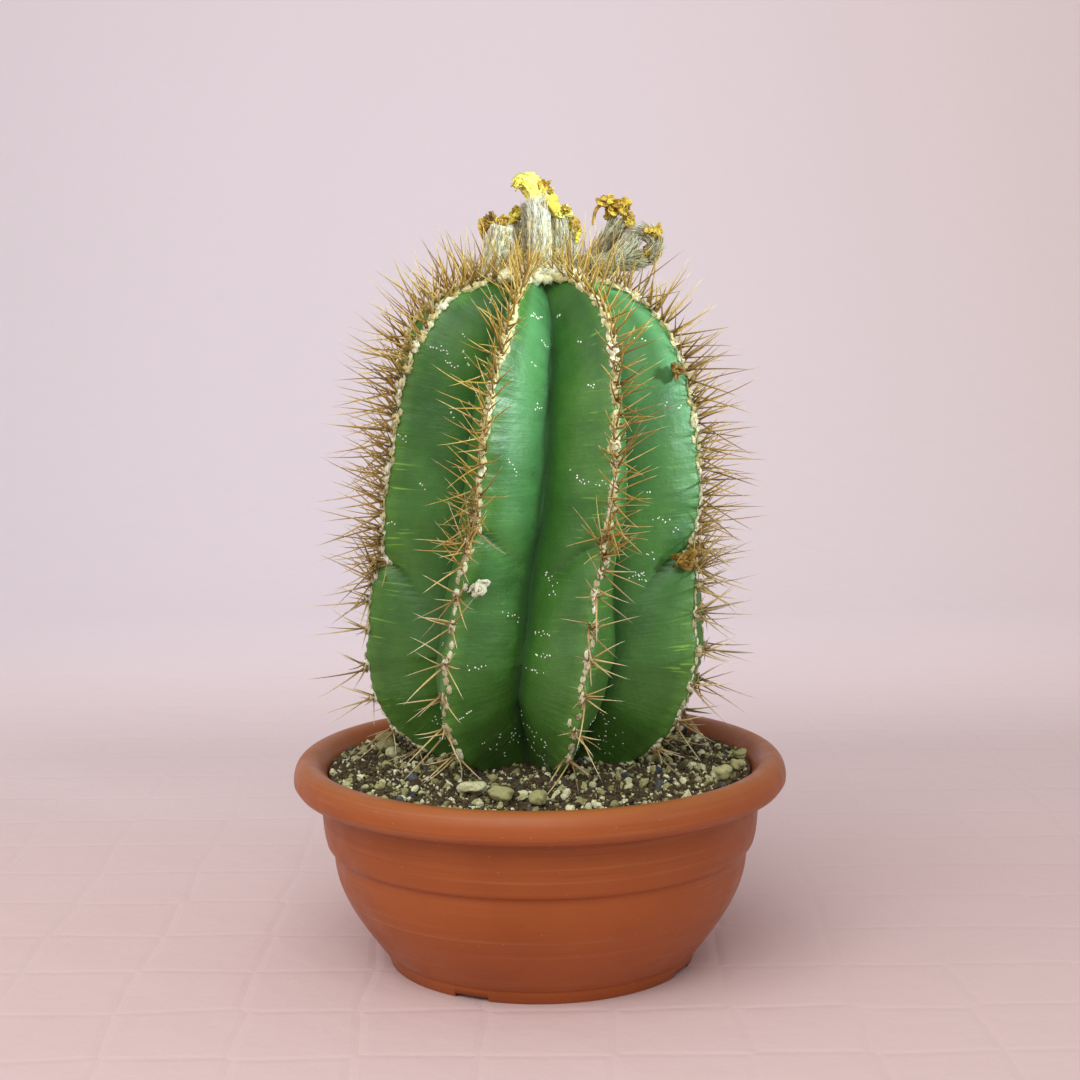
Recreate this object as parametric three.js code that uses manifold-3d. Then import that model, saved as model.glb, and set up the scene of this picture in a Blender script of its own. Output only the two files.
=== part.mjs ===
// A potted cactus: an eight-ribbed stem with felted rows of spines, in a bowl-shaped plastic pot of soil.
// Millimetres, +Z up. The origin is on the floor, on the pot's axis. The front is -Y and the right side is +X.
// Azimuths run from the front towards the right side.
import * as THREE from 'three';
import { mergeVertices } from 'three/addons/utils/BufferGeometryUtils.js';
import Module from 'manifold-3d';

const wasm = await Module();
wasm.setup();

// ---- Driving dimensions ----

// Gap between pieces that touch.
const clearance = 0.3;

// Pot
const potHeight = 106;
const rimRadius = 125;
const rimOverhang = 14; // from the neck band out to the widest point of the rim
const rimRoll = 7; // from the widest point in to the crest
const rimDrop = 15.5; // from the crest down to the edge of the turned-down lip
const rimInset = 13.3; // from the widest point in to the edge of the opening
const potWall = 2.5;
const neckDrop = 40; // from the crest down to the lower edge of the neck band
const neckTaper = 1.5; // how much narrower the band is at its lower edge
const neckStep = 4.2; // from the band in to the bowl below it
const neckStepHeight = 7;
const footRadius = 78;
const footFlare = 2;
const footHeight = 7;
const footLip = 1;
const footWall = 3.5;
const floorLift = 4; // the pot's floor stands clear of the ground, so that it drains
const floorThickness = 3;
const notchCount = 4;
const notchWidth = 18;
const notchHeight = 2.2;
const notchTurn = THREE.MathUtils.degToRad(-26);
const drainHoleCount = 6;
const drainHoleRadius = 5;
const drainCircleRadius = 48;

// Soil
const soilEdgeDrop = 6; // from the pot's crest down to the soil at the wall
const soilMound = 6; // how much higher the soil's middle is than its edge

// Stem
const ribCount = 8;
const stemHeight = 258; // from its underside, in the soil, to the crown
const stemSetting = 12; // how deep its underside is below the soil's edge
const stemBack = 8; // it stands a little behind the pot's axis
const bellyRadius = 88.5;
const bellyHeight = 75;
const waistRadius = 84;
const waistHeight = 115;
const chestRadius = 84.5;
const chestRise = 28; // from the waist up to the chest
const shoulderRadius = 73;
const shoulderDrop = 41;
const crownRadius = 16;
const crownDip = 3;
const grooveDepth = 30;
const fullGrooveRadius = 75; // the grooves are at their deepest where the stem is wider than this
const crestSharpness = 0.06;
const flankFullness = 0.7;
const swayRight = 3; // the upper stem bows to the right by this much

// Areole rows
const bandRadius = 2;
const bandGap = 0.6;
const areolesPerRow = 14;
const spineRadius = 0.8;
const spineLength = 24;
const shortSpine = 0.85; // every other pair is shorter by this factor
const spineSpread = 0.75; // how far the spines of a pair lean to the sides, and how far they climb
const spineClimb = 0.25;
const rowStartRise = 7.5; // from the pot's crest up to the lowest areole
const rowEndRadius = 38; // the rows stop at this radius, short of the crown

// Crown
const woolRadius = 26;
const woolHeight = 7.5;
const woolTufts = 9;
const tuftDepth = 0.06; // how far the tufts stand out, as a share of the wool's radius

// Loose stones on the soil
const stoneRadius = 4.2;
const stonesPerSide = 3;
const stoneSpacing = 0.2; // the angle from one stone to the next

// ---- Finishes ----

function finish(colour, roughness) {
  return new THREE.MeshStandardMaterial({ color: colour, roughness, metalness: 0 });
}

const plastic = finish(0xa85a30, 0.45);
const peat = finish(0x3b2a1c, 0.95);
const skin = finish(0x2f7a3c, 0.55);
const felt = finish(0xb9a56a, 0.9);
const wool = finish(0xd8cfa4, 0.95);
const driedTube = finish(0xa79c7c, 0.9);
const driedPetal = finish(0xb08a2e, 0.85);
const driedBit = finish(0x6e4a28, 0.9);
const pumice = finish(0xcfc7a6, 0.95);

// ---- Small helpers ----

const partGroup = new THREE.Group();

function addPiece(name, geometry, material) {
  const piece = new THREE.Mesh(geometry, material);
  piece.name = name;
  partGroup.add(piece);
}

// A closed geometry as a solid that can be cut and joined.
function solidFrom(geometry) {
  const bare = geometry.clone();
  bare.deleteAttribute('normal');
  bare.deleteAttribute('uv');
  const welded = mergeVertices(bare, 1e-4);
  return new wasm.Manifold(
    new wasm.Mesh({
      numProp: 3,
      vertProperties: new Float32Array(welded.attributes.position.array),
      triVerts: new Uint32Array(welded.index.array),
    }),
  );
}

function geometryFrom(solid) {
  const mesh = solid.getMesh();
  const geometry = new THREE.BufferGeometry();
  geometry.setAttribute('position', new THREE.BufferAttribute(mesh.vertProperties, 3));
  geometry.setIndex(new THREE.BufferAttribute(mesh.triVerts, 1));
  geometry.computeVertexNormals();
  return geometry;
}

function joined(geometries) {
  return geometryFrom(geometries.map(solidFrom).reduce((whole, next) => whole.add(next)));
}

// Turns an upright lathe from three.js's +Y up to this part's +Z up. Its first meridian faces the front.
function upright(geometry) {
  return geometry.rotateX(Math.PI / 2);
}

function lathe(profile, segments) {
  return upright(new THREE.LatheGeometry(profile.map(([r, z]) => new THREE.Vector2(r, z)), segments));
}

function onCircle(radius, azimuth, z) {
  return new THREE.Vector3(radius * Math.sin(azimuth), -radius * Math.cos(azimuth), z);
}

function mix(a, b, t) {
  return a + (b - a) * t;
}

// ---- Pot ----

const potSegments = 48;
const neckRadius = rimRadius - rimOverhang;
const neckBottom = potHeight - neckDrop;
const bowlRadius = neckRadius - neckTaper - neckStep;
const bowlTop = neckBottom - neckStepHeight;
const openingRadius = rimRadius - rimInset;
const floorTop = floorLift + floorThickness;

// The bowl's outside radius at a height: a quarter wave that leaves the foot and runs upright into the neck.
function bowlOutside(z) {
  const start = footRadius + footFlare + footLip;
  return start + (bowlRadius - start) * Math.sin((Math.PI / 2) * ((z - footHeight) / (bowlTop - footHeight)));
}

// The inside radius of the pot at a height, from its floor to the top of the neck.
function potInside(z) {
  if (z <= bowlTop) return bowlOutside(Math.max(z, footHeight)) - potWall;
  const step = Math.min(1, (z - bowlTop) / neckStepHeight);
  return mix(bowlRadius, neckRadius - neckTaper, step) - potWall;
}

function arc(centre, radii, from, to, steps) {
  return Array.from({ length: steps + 1 }, (_, i) => {
    const a = THREE.MathUtils.degToRad(mix(from, to, i / steps));
    return [centre[0] + radii[0] * Math.cos(a), centre[1] + radii[1] * Math.sin(a)];
  });
}

function potProfile() {
  const bowlSteps = 6;
  const outside = Array.from({ length: bowlSteps + 1 }, (_, i) => {
    const z = mix(footHeight, bowlTop, i / bowlSteps);
    return [bowlOutside(z), z];
  });
  const crestRadius = rimRadius - rimRoll;
  const lipEdge = potHeight - rimDrop;
  const rollMiddle = potHeight - rimDrop * 0.65;
  return [
    [0, floorLift],
    [footRadius - footWall, floorLift],
    [footRadius - footWall, 0],
    [footRadius, 0],
    [footRadius + footFlare, footHeight - 0.5],
    ...outside,
    [neckRadius - neckTaper - 1, neckBottom - 1.5],
    [neckRadius - neckTaper, neckBottom],
    [neckRadius, neckBottom + 10],
    [neckRadius, potHeight - 7],
    [neckRadius + 3, potHeight - 5],
    [crestRadius + 1, potHeight - 4.5],
    [rimRadius - potWall - 1, rollMiddle],
    [rimRadius - potWall - 2, lipEdge + 1],
    [rimRadius - potWall, lipEdge],
    ...arc([crestRadius, rollMiddle], [rimRoll, potHeight - rollMiddle], 0, 90, 4),
    [mix(crestRadius, openingRadius, 0.6), potHeight - 0.8],
    [openingRadius, potHeight - 2.6],
    [potInside(neckBottom), potHeight - 7],
    [potInside(neckBottom), neckBottom],
    ...outside.map(([r, z]) => [r - potWall, z]).slice(1).reverse(),
    [bowlOutside(footHeight) - potWall, floorTop],
    [0, floorTop],
  ];
}

function drainHole(radius, azimuth) {
  const hole = new THREE.CylinderGeometry(drainHoleRadius, drainHoleRadius, 4 * floorThickness, 12);
  const place = onCircle(radius, azimuth, floorLift + floorThickness / 2);
  return upright(hole).translate(place.x, place.y, place.z);
}

function footNotch(azimuth) {
  const notch = new THREE.BoxGeometry(notchWidth, 3 * footWall, 2 * notchHeight);
  const place = onCircle(footRadius - footWall / 2, azimuth, 0);
  return notch.rotateZ(azimuth).translate(place.x, place.y, place.z);
}

function potGeometry() {
  let body = solidFrom(lathe(potProfile(), potSegments));
  body = body.subtract(solidFrom(drainHole(0, 0)));
  for (let i = 0; i < drainHoleCount; i++) {
    body = body.subtract(solidFrom(drainHole(drainCircleRadius, (2 * Math.PI * i) / drainHoleCount)));
  }
  for (let i = 0; i < notchCount; i++) {
    body = body.subtract(solidFrom(footNotch(notchTurn + (2 * Math.PI * i) / notchCount)));
  }
  return geometryFrom(body);
}

// ---- Stem ----

const soilEdge = potHeight - soilEdgeDrop;
const soilRadius = potInside(soilEdge) - clearance;
const stemBottom = soilEdge - stemSetting;
const stemTop = stemBottom + stemHeight;
const chestLevel = stemBottom + waistHeight + chestRise;
const shoulderLevel = stemTop - shoulderDrop;

// The soil's top is a mound made of flat-sided rings, given by their shares of the soil's radius.
const soilRings = [1, 0.75, 0.5, 0.25, 0];

function ringHeight(share) {
  return soilEdge + soilMound * (1 - share ** 2);
}

// The height of the soil's top at a radius, on the slope between the two nearest rings.
function soilTop(radius) {
  const share = Math.min(radius / soilRadius, 0.999);
  const outer = soilRings.findIndex((ring) => ring <= share) - 1;
  const part = (soilRings[outer] - share) / (soilRings[outer] - soilRings[outer + 1]);
  return mix(ringHeight(soilRings[outer]), ringHeight(soilRings[outer + 1]), part);
}

// The line of a rib's crest, from the middle of the underside out, up and in to the crown.
const crestLine = new THREE.SplineCurve(
  [
    [0, stemBottom],
    [0.38 * bellyRadius, stemBottom + 3],
    [0.57 * bellyRadius, stemBottom + 15],
    [0.77 * bellyRadius, stemBottom + 25],
    [0.91 * bellyRadius, stemBottom + 40],
    [bellyRadius - 0.7, stemBottom + bellyHeight - 11],
    [bellyRadius, stemBottom + bellyHeight + 3],
    [waistRadius, stemBottom + waistHeight],
    [chestRadius, chestLevel],
    [mix(shoulderRadius, chestRadius, 0.65), mix(shoulderLevel, chestLevel, 0.42)],
    [shoulderRadius, shoulderLevel],
    [0.8 * shoulderRadius, stemTop - 0.39 * shoulderDrop],
    [0.5 * shoulderRadius, stemTop - 0.09 * shoulderDrop],
    [crownRadius, stemTop],
    [0, stemTop - crownDip],
  ].map(([r, z]) => new THREE.Vector2(r, z)),
);

// The stem is twisted: the crests turn towards the right as they climb.
const twistCurve = new THREE.SplineCurve([
  new THREE.Vector2(stemBottom, -12),
  new THREE.Vector2(stemBottom + 29, -11.5),
  new THREE.Vector2(stemBottom + 112, -4),
  new THREE.Vector2(stemTop - 56, 4),
  new THREE.Vector2(stemTop - 11, 13),
  new THREE.Vector2(stemTop, 15),
]);

function twistAt(z) {
  const t = THREE.MathUtils.clamp((z - stemBottom) / stemHeight, 0, 1);
  const points = twistCurve.points;
  let i = 0;
  while (i < points.length - 2 && z > points[i + 1].x) i++;
  const part = (stemBottom + t * stemHeight - points[i].x) / (points[i + 1].x - points[i].x);
  return THREE.MathUtils.degToRad(twistCurve.getPoint((i + part) / (points.length - 1)).y);
}

// The stem's axis at a height.
function axisAt(z) {
  const bow = Math.sin(Math.PI * THREE.MathUtils.clamp((z - stemTop + 150) / 140, 0, 1));
  return new THREE.Vector3(swayRight * bow, stemBack, 0);
}

// How far the surface is below the crest line, from 0 on the crest to 1 in the groove, at a share of the way.
function flankFall(share) {
  const rise = (t) => Math.hypot(t, crestSharpness) ** flankFullness;
  return (rise(share) - rise(0)) / (rise(1) - rise(0));
}

// A point of the stem's surface. along runs from 0 at the underside to 1 at the crown, and side from -1 to 1
// across one rib, groove to groove. lift is its height above the crest line or flank.
function stemPoint(along, rib, side, lift = 0) {
  const crest = crestLine.getPointAt(along);
  const tangent = crestLine.getTangentAt(along);
  const outward = new THREE.Vector2(tangent.y, -tangent.x);
  const fullness = Math.min(1, crest.x / fullGrooveRadius);
  const depth = grooveDepth * 0.5 * (1 - Math.cos(Math.PI * fullness));
  const fall = depth * flankFall(Math.abs(side)) - lift;
  const onAxis = along === 0 || along === 1;
  const radius = onAxis ? 0 : Math.max(0, crest.x - fall * outward.x);
  const z = crest.y - fall * outward.y;
  const azimuth = ((rib + side / 2) * 2 * Math.PI) / ribCount + twistAt(crest.y);
  return onCircle(radius, azimuth, z).add(axisAt(crest.y));
}

const flankShares = [0, 0.14, 0.34, 0.62];
const stemSteps = 22;

// A lathe bent into ribs. swell moves the whole surface outwards, for the seat in the soil.
function stemGeometry(swell = 0) {
  const sides = [-1, ...flankShares.slice(1).map((share) => -share).reverse(), ...flankShares];
  const columns = ribCount * sides.length;
  const profile = Array.from({ length: stemSteps + 1 }, (_, j) => new THREE.Vector2(1, j));
  const geometry = new THREE.LatheGeometry(profile, columns);
  const position = geometry.attributes.position;
  for (let k = 0; k < position.count; k++) {
    const column = Math.floor(k / profile.length) % columns;
    const step = k % profile.length;
    const rib = Math.floor(column / sides.length) + 0.5;
    const point = stemPoint(step / stemSteps, rib, sides[column % sides.length], swell);
    position.setXYZ(k, point.x, point.y, point.z);
  }
  return geometry;
}

// ---- Soil ----

function soilGeometry() {
  const wallSteps = 5;
  const wall = Array.from({ length: wallSteps + 1 }, (_, i) => {
    const z = mix(floorTop + clearance, bowlTop, i / wallSteps);
    return [potInside(z) - 2 * clearance, z];
  });
  const top = soilRings.map((share) => [share * soilRadius, ringHeight(share)]);
  const body = lathe(
    [[0, floorTop + clearance], ...wall, [soilRadius, neckBottom + 2 * clearance], ...top],
    potSegments,
  );
  return geometryFrom(solidFrom(body).subtract(solidFrom(stemGeometry(2 * clearance))));
}

// ---- Areole rows ----

// The share of the crest line at which it first passes a height, and at which it last passes a radius.
function alongAtHeight(z) {
  let along = 0;
  while (crestLine.getPointAt(along).y < z) along += 0.002;
  return along;
}

function alongAtRadius(radius) {
  let along = 1;
  while (crestLine.getPointAt(along).x < radius) along -= 0.002;
  return along;
}

// A point above the crest of a rib, on the straight line between the two nearest rows of the stem's surface.
function aboveCrest(along, rib, lift) {
  const step = Math.min(Math.floor(along * stemSteps), stemSteps - 1);
  const below = stemPoint(step / stemSteps, rib, 0, lift);
  const above = stemPoint((step + 1) / stemSteps, rib, 0, lift);
  return below.lerp(above, along * stemSteps - step);
}

// The line of a felt band. It bends only at the rows of the stem's surface, so it stays parallel to the crest.
class CrestCurve extends THREE.Curve {
  constructor(rib, from, to) {
    super();
    this.rib = rib;
    const rows = Array.from({ length: stemSteps + 1 }, (_, i) => i / stemSteps);
    this.stops = [from, ...rows.filter((along) => along > from && along < to), to];
    this.steps = this.stops.length - 1;
  }

  alongAt(t) {
    const i = Math.min(Math.floor(t * this.steps), this.steps - 1);
    return mix(this.stops[i], this.stops[i + 1], t * this.steps - i);
  }

  getPoint(t, target = new THREE.Vector3()) {
    return target.copy(aboveCrest(this.alongAt(t), this.rib, bandRadius + bandGap));
  }

  // One step for each stop, whatever their spacing.
  getUtoTmapping(share) {
    return share;
  }
}

function roundSection(radius, sides) {
  return new THREE.Shape(
    Array.from({ length: sides }, (_, i) => {
      const a = (2 * Math.PI * i) / sides;
      return new THREE.Vector2(radius * Math.cos(a), radius * Math.sin(a));
    }),
  );
}

function tubeAlong(curve, radius, sides, steps) {
  return new THREE.ExtrudeGeometry(roundSection(radius, sides), {
    steps,
    extrudePath: curve,
    bevelEnabled: false,
  });
}

// A straight spine from a point, in a direction.
function spine(from, direction, length) {
  const cone = new THREE.ConeGeometry(spineRadius, length, 3, 1).translate(0, length / 2, 0);
  const turn = new THREE.Quaternion().setFromUnitVectors(new THREE.Vector3(0, 1, 0), direction);
  return cone.applyQuaternion(turn).translate(from.x, from.y, from.z);
}

// The felt band of one rib with its spines, which lean alternately to both sides and a little upwards.
function areoleRow(rib) {
  const from = alongAtHeight(potHeight + rowStartRise);
  const to = alongAtRadius(rowEndRadius);
  const curve = new CrestCurve(rib, from, to);
  const pieces = [tubeAlong(curve, bandRadius, 5, curve.steps)];
  for (let i = 0; i < areolesPerRow; i++) {
    const share = (i + 0.5) / areolesPerRow;
    const along = curve.alongAt(share);
    const base = curve.getPoint(share);
    const outward = stemPoint(along, rib, 0, 10).sub(stemPoint(along, rib, 0)).normalize();
    const ahead = curve.getTangent(share);
    const sideways = new THREE.Vector3().crossVectors(ahead, outward);
    const spread = spineSpread * Math.min(1, (crestLine.getPointAt(along).x / waistRadius) ** 2);
    for (const side of [-1, 1]) {
      const lean = outward.clone().addScaledVector(sideways, side * spread).addScaledVector(ahead, spineClimb);
      pieces.push(spine(base, lean.normalize(), spineLength * (i % 2 ? 1 : shortSpine)));
    }
  }
  return joined(pieces);
}

// ---- Crown: wool and dried flowers ----

const crownAxis = axisAt(stemTop);
const woolBottom = stemTop + 2 * clearance;
const woolTop = woolBottom + woolHeight;

function woolGeometry() {
  const geometry = lathe(
    [
      [0, woolBottom],
      [woolRadius - 4, woolBottom],
      [woolRadius, woolBottom + 0.35 * woolHeight],
      [0.8 * woolRadius, woolBottom + 0.85 * woolHeight],
      [0.5 * woolRadius, woolTop],
      [0, woolTop],
    ],
    2 * woolTufts,
  );
  const position = geometry.attributes.position;
  for (let k = 0; k < position.count; k++) {
    const azimuth = Math.atan2(position.getX(k), -position.getY(k));
    const tuft = 1 + tuftDepth * Math.cos(woolTufts * azimuth);
    position.setXY(k, position.getX(k) * tuft, position.getY(k) * tuft);
  }
  return geometry.translate(crownAxis.x, crownAxis.y, 0);
}

// A withered flower: where its tube starts on the wool, the points it bends through, its radii and its petals.
// Points are measured from the crown's middle, across, towards the back, and up from the wool.
const flowers = [
  { path: [[-20, -4, 0], [-19.5, -5, 8], [-16.5, -6, 17]], foot: 4, mouth: 4.4, petals: 3, petal: 4 },
  { path: [[-7, 13, 0], [-8, 13, 11], [-8.5, 13, 21]], foot: 2.2, mouth: 1.6, petals: 2, petal: 4 },
  { path: [[3, 0, 0], [2.5, 0, 14], [1.4, -1, 29]], foot: 5.2, mouth: 4.8, petals: 4, petal: 7 },
  { path: [[12.5, 4, 0], [13, 4, 11], [12, 5, 22]], foot: 3.6, mouth: 3.6, petals: 3, petal: 4 },
  { path: [[18, 13, 0], [29, 17, 8], [40, 19, 18]], foot: 3.2, mouth: 3.6, petals: 4, petal: 6 },
  { path: [[21, 3, 0], [28, 5, 7], [42, 7, 8], [53, 8, 13]], foot: 3.4, mouth: 3.8, petals: 3, petal: 6 },
  { path: [[19.5, 8, 0], [20.5, 8, 7], [20, 8, 14]], foot: 1.3, mouth: 1.2, petals: 2, petal: 3 },
];

function flowerCurve(flower) {
  return new THREE.CatmullRomCurve3(
    flower.path.map(([x, y, z]) => new THREE.Vector3(x, y, z + woolTop + clearance).add(crownAxis)),
  );
}

// A tube that tapers from its foot to its mouth: a lathe bent along the flower's curve.
function flowerTube(flower) {
  const curve = flowerCurve(flower);
  const sides = 7;
  const steps = 5;
  const radii = Array.from({ length: steps + 1 }, (_, j) => mix(flower.foot, flower.mouth, j / steps));
  const rows = [0, ...radii, 0];
  const profile = rows.map((r, j) => new THREE.Vector2(r, Math.min(Math.max(j - 1, 0), steps)));
  const geometry = new THREE.LatheGeometry(profile, sides);
  const frames = curve.computeFrenetFrames(steps);
  const position = geometry.attributes.position;
  for (let k = 0; k < position.count; k++) {
    const j = position.getY(k);
    const normal = j === 0 ? new THREE.Vector3(0, -1, 0) : frames.normals[j];
    const binormal = j === 0 ? new THREE.Vector3(1, 0, 0) : frames.binormals[j];
    const point = curve.getPointAt(j / steps);
    point.addScaledVector(binormal, position.getX(k)).addScaledVector(normal, position.getZ(k));
    position.setXYZ(k, point.x, point.y, point.z);
  }
  return geometry;
}

// A tuft of curled petals past the tube's mouth, round a small heart.
function flowerPetals(flower) {
  const curve = flowerCurve(flower);
  const ahead = curve.getTangentAt(1);
  const heartRadius = 0.45 * flower.mouth;
  const heart = curve.getPointAt(1).addScaledVector(ahead, heartRadius + 3 * clearance);
  const across = new THREE.Vector3(0, -1, 0).cross(ahead).normalize();
  const pieces = [new THREE.IcosahedronGeometry(heartRadius, 0).translate(heart.x, heart.y, heart.z)];
  for (let i = 0; i < flower.petals; i++) {
    const out = across.clone().applyAxisAngle(ahead, (2 * Math.PI * i) / flower.petals + 0.4);
    const bend = [[0, 0], [0.6, 0.5], [1, 0.9], [1.35, 0.55]];
    const points = bend.map(([o, a]) =>
      heart.clone().addScaledVector(out, o * flower.petal).addScaledVector(ahead, a * flower.petal),
    );
    const blade = new THREE.Shape([[-0.5, -0.25], [0.5, -0.25], [0.5, 0.25], [-0.5, 0.25]].map(
      ([x, y]) => new THREE.Vector2(x * 1.4, y * flower.petal * 0.8),
    ));
    pieces.push(new THREE.ExtrudeGeometry(blade, {
      steps: 4,
      extrudePath: new THREE.CatmullRomCurve3(points),
      bevelEnabled: false,
    }));
  }
  return joined(pieces);
}

// ---- Dried bits on the ribs ----

// Which rib each lies on, how high up the crest line, how far to the side, and its three sizes.
const driedBits = {
  dried_bud: { rib: 1, along: 0.735, side: -0.15, size: [3, 3, 5] },
  dried_curl: { rib: 7, along: 0.463, side: 0.15, size: [2.5, 2.5, 6] },
  dried_clump: { rib: 1, along: 0.483, side: -0.15, size: [4, 4, 5] },
};

// The way the stem's surface faces at a point of a flank.
function flankNormal(along, rib, side) {
  const reach = 0.02;
  const across = stemPoint(along, rib, side + reach).sub(stemPoint(along, rib, side - reach));
  const up = stemPoint(along + reach, rib, side).sub(stemPoint(along - reach, rib, side));
  return across.cross(up).normalize();
}

function driedBitGeometry({ rib, along, side, size }) {
  const normal = flankNormal(along, rib + 0.5, side);
  const place = stemPoint(along, rib + 0.5, side).addScaledVector(normal, Math.max(...size) + 2 * clearance);
  return new THREE.IcosahedronGeometry(1, 0).scale(...size).translate(place.x, place.y, place.z);
}

// ---- Loose stones ----

// How far the stem reaches from the pot's axis, at the height of the stones' tops.
function stemReach(azimuth) {
  const crest = crestLine.getPointAt(alongAtHeight(soilEdge + 2 * stoneRadius));
  return crest.x - stemBack * Math.cos(azimuth);
}

// A stone on the open soil. It lies in front of a groove, between the stem and the pot's wall.
function stoneGeometry(i) {
  const side = Math.floor(i / stonesPerSide);
  const groove = (side * Math.PI) / 2 + twistAt(soilEdge);
  const azimuth = groove + ((i % stonesPerSide) - (stonesPerSide - 1) / 2) * stoneSpacing;
  const wobble = Math.sin(12.9 * i);
  const size = stoneRadius * (1 + 0.25 * Math.sin(7.1 * i + 1));
  const longest = 1.25 * size;
  const stone = new THREE.IcosahedronGeometry(size, 0).scale(1.25, 1, 0.7).rotateX(0.5 * wobble).rotateZ(2.4 * i);
  stone.computeBoundingBox();
  const inner = stemReach(azimuth) + longest + clearance;
  const outer = soilRadius - longest - clearance;
  const radius = mix(inner, outer, 0.5 + 0.5 * wobble);
  const rest = soilTop(radius - longest) + clearance - stone.boundingBox.min.z;
  const place = onCircle(radius, azimuth, rest);
  return stone.translate(place.x, place.y, place.z);
}

// ---- The whole plant ----

addPiece('pot', potGeometry(), plastic);
addPiece('soil', soilGeometry(), peat);
addPiece('stem', stemGeometry(), skin);
for (let i = 0; i < ribCount; i++) {
  addPiece(`areole_row_${i + 1}`, areoleRow(i + 0.5), felt);
}
addPiece('crown_wool', woolGeometry(), wool);
flowers.forEach((flower, i) => {
  addPiece(`flower_${i + 1}_tube`, flowerTube(flower), driedTube);
  addPiece(`flower_${i + 1}_petals`, flowerPetals(flower), driedPetal);
});
for (const [name, bit] of Object.entries(driedBits)) {
  addPiece(name, driedBitGeometry(bit), driedBit);
}
for (let i = 0; i < 4 * stonesPerSide; i++) {
  addPiece(`pumice_${i + 1}`, stoneGeometry(i), pumice);
}

export default partGroup;
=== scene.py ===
# %% [markdown]
# # A potted cactus, from frame to finished picture
# The CAD model fixes where everything is: the pot, the soil, the ribbed stem, its rows of areoles and the dried
# flowers. In this notebook each plain solid gets a detailed piece in the same place. We load the frame first,
# because every size below is read from it or named beside it.

# %% Load the fixed frame
import math

import bmesh
import bpy
import numpy as np
from mathutils import Matrix, Vector


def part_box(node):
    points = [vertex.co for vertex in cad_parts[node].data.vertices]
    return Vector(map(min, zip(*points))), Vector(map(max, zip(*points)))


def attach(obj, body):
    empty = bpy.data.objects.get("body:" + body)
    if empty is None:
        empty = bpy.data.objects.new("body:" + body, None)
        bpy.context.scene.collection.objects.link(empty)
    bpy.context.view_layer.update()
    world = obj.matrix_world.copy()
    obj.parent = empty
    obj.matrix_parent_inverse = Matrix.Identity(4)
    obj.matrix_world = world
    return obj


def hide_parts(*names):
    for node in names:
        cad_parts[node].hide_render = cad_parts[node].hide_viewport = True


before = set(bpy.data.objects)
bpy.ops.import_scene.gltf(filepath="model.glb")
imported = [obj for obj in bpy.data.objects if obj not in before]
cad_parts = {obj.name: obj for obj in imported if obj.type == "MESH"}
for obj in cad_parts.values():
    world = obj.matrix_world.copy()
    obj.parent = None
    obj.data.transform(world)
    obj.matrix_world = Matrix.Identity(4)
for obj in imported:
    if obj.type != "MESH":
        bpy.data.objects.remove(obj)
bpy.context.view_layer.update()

MM = 0.001
pot_low, pot_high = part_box("pot")
soil_low, soil_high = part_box("soil")
stem_low, stem_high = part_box("stem")
print("pot is", round(pot_high.x * 2, 4), "across, stem top at", round(stem_high.z, 4))

# %% [markdown]
# ## The view
# A plant portrait is taken from a little over a metre away with a 70 mm lens, so the ribs aren't stretched.
# The lens is level with the crown and looks down by seven and a half degrees, which opens the pot's rim to an
# ellipse and shows the soil.

# %% Camera
def add_camera(place, tilt_down, roll, lens):
    """A camera that looks along +Y, tilted down, and turned a little about its own axis."""
    data = bpy.data.cameras.new("view")
    data.lens = lens
    data.sensor_width = 36
    data.clip_start = 0.01
    eye = bpy.data.objects.new("view", data)
    turn = Matrix.Rotation(math.radians(90 - tilt_down), 4, "X") @ Matrix.Rotation(math.radians(roll), 4, "Z")
    eye.matrix_world = Matrix.Translation(place) @ turn
    bpy.context.collection.objects.link(eye)
    bpy.context.scene.camera = eye
    return eye


camera = add_camera((0.0013, -1.049, 0.354), 7.55, -0.6, 70)
print("camera at", tuple(round(v, 3) for v in camera.location))


# %% Mesh helpers
def add_object(name, points, faces, finish, smooth=True, marks=None):
    """A mesh object from points and faces. marks are named numbers, one a point, that its finish may read."""
    mesh = bpy.data.meshes.new(name)
    mesh.from_pydata(np.asarray(points, float).tolist(), [], [tuple(face) for face in faces])
    mesh.polygons.foreach_set("use_smooth", [smooth] * len(mesh.polygons))
    for mark, values in (marks or {}).items():
        values = np.asarray(values, np.float32)
        kind, key = ("FLOAT", "value") if values.ndim == 1 else ("FLOAT_VECTOR", "vector")
        mesh.attributes.new(mark, kind, "POINT").data.foreach_set(key, values.ravel())
    mesh.materials.append(finish)
    mesh.update()
    made = bpy.data.objects.new(name, mesh)
    bpy.context.collection.objects.link(made)
    return made


def add_piece(name, points, faces, finish, stands_for=(), smooth=True, marks=None):
    """A piece of the plant: it rides on the one body and hides the CAD nodes it stands for."""
    piece = add_object(name, points, faces, finish, smooth, marks)
    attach(piece, "root")
    if stands_for:
        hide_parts(*stands_for)
    print(f"{name}: {len(points)} points, {len(faces)} faces")
    return piece


def grid_faces(rows, columns, closed=True):
    """Quads over rows of points. A closed grid joins its last column to its first."""
    across = columns if closed else columns - 1
    row, column = np.meshgrid(np.arange(rows - 1), np.arange(across), indexing="ij")
    a = row * columns + column
    b = row * columns + (column + 1) % columns
    return np.stack([a, b, b + columns, a + columns], axis=-1).reshape(-1, 4).tolist()


def capped_faces(rows, columns):
    """Quads over a closed grid, with its two end rings drawn in to one point each, stored after the grid."""
    low, high, last = rows * columns, rows * columns + 1, (rows - 1) * columns
    faces = grid_faces(rows, columns)
    faces += [(low, (c + 1) % columns, c) for c in range(columns)]
    faces += [(high, last + c, last + (c + 1) % columns) for c in range(columns)]
    return faces


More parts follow.
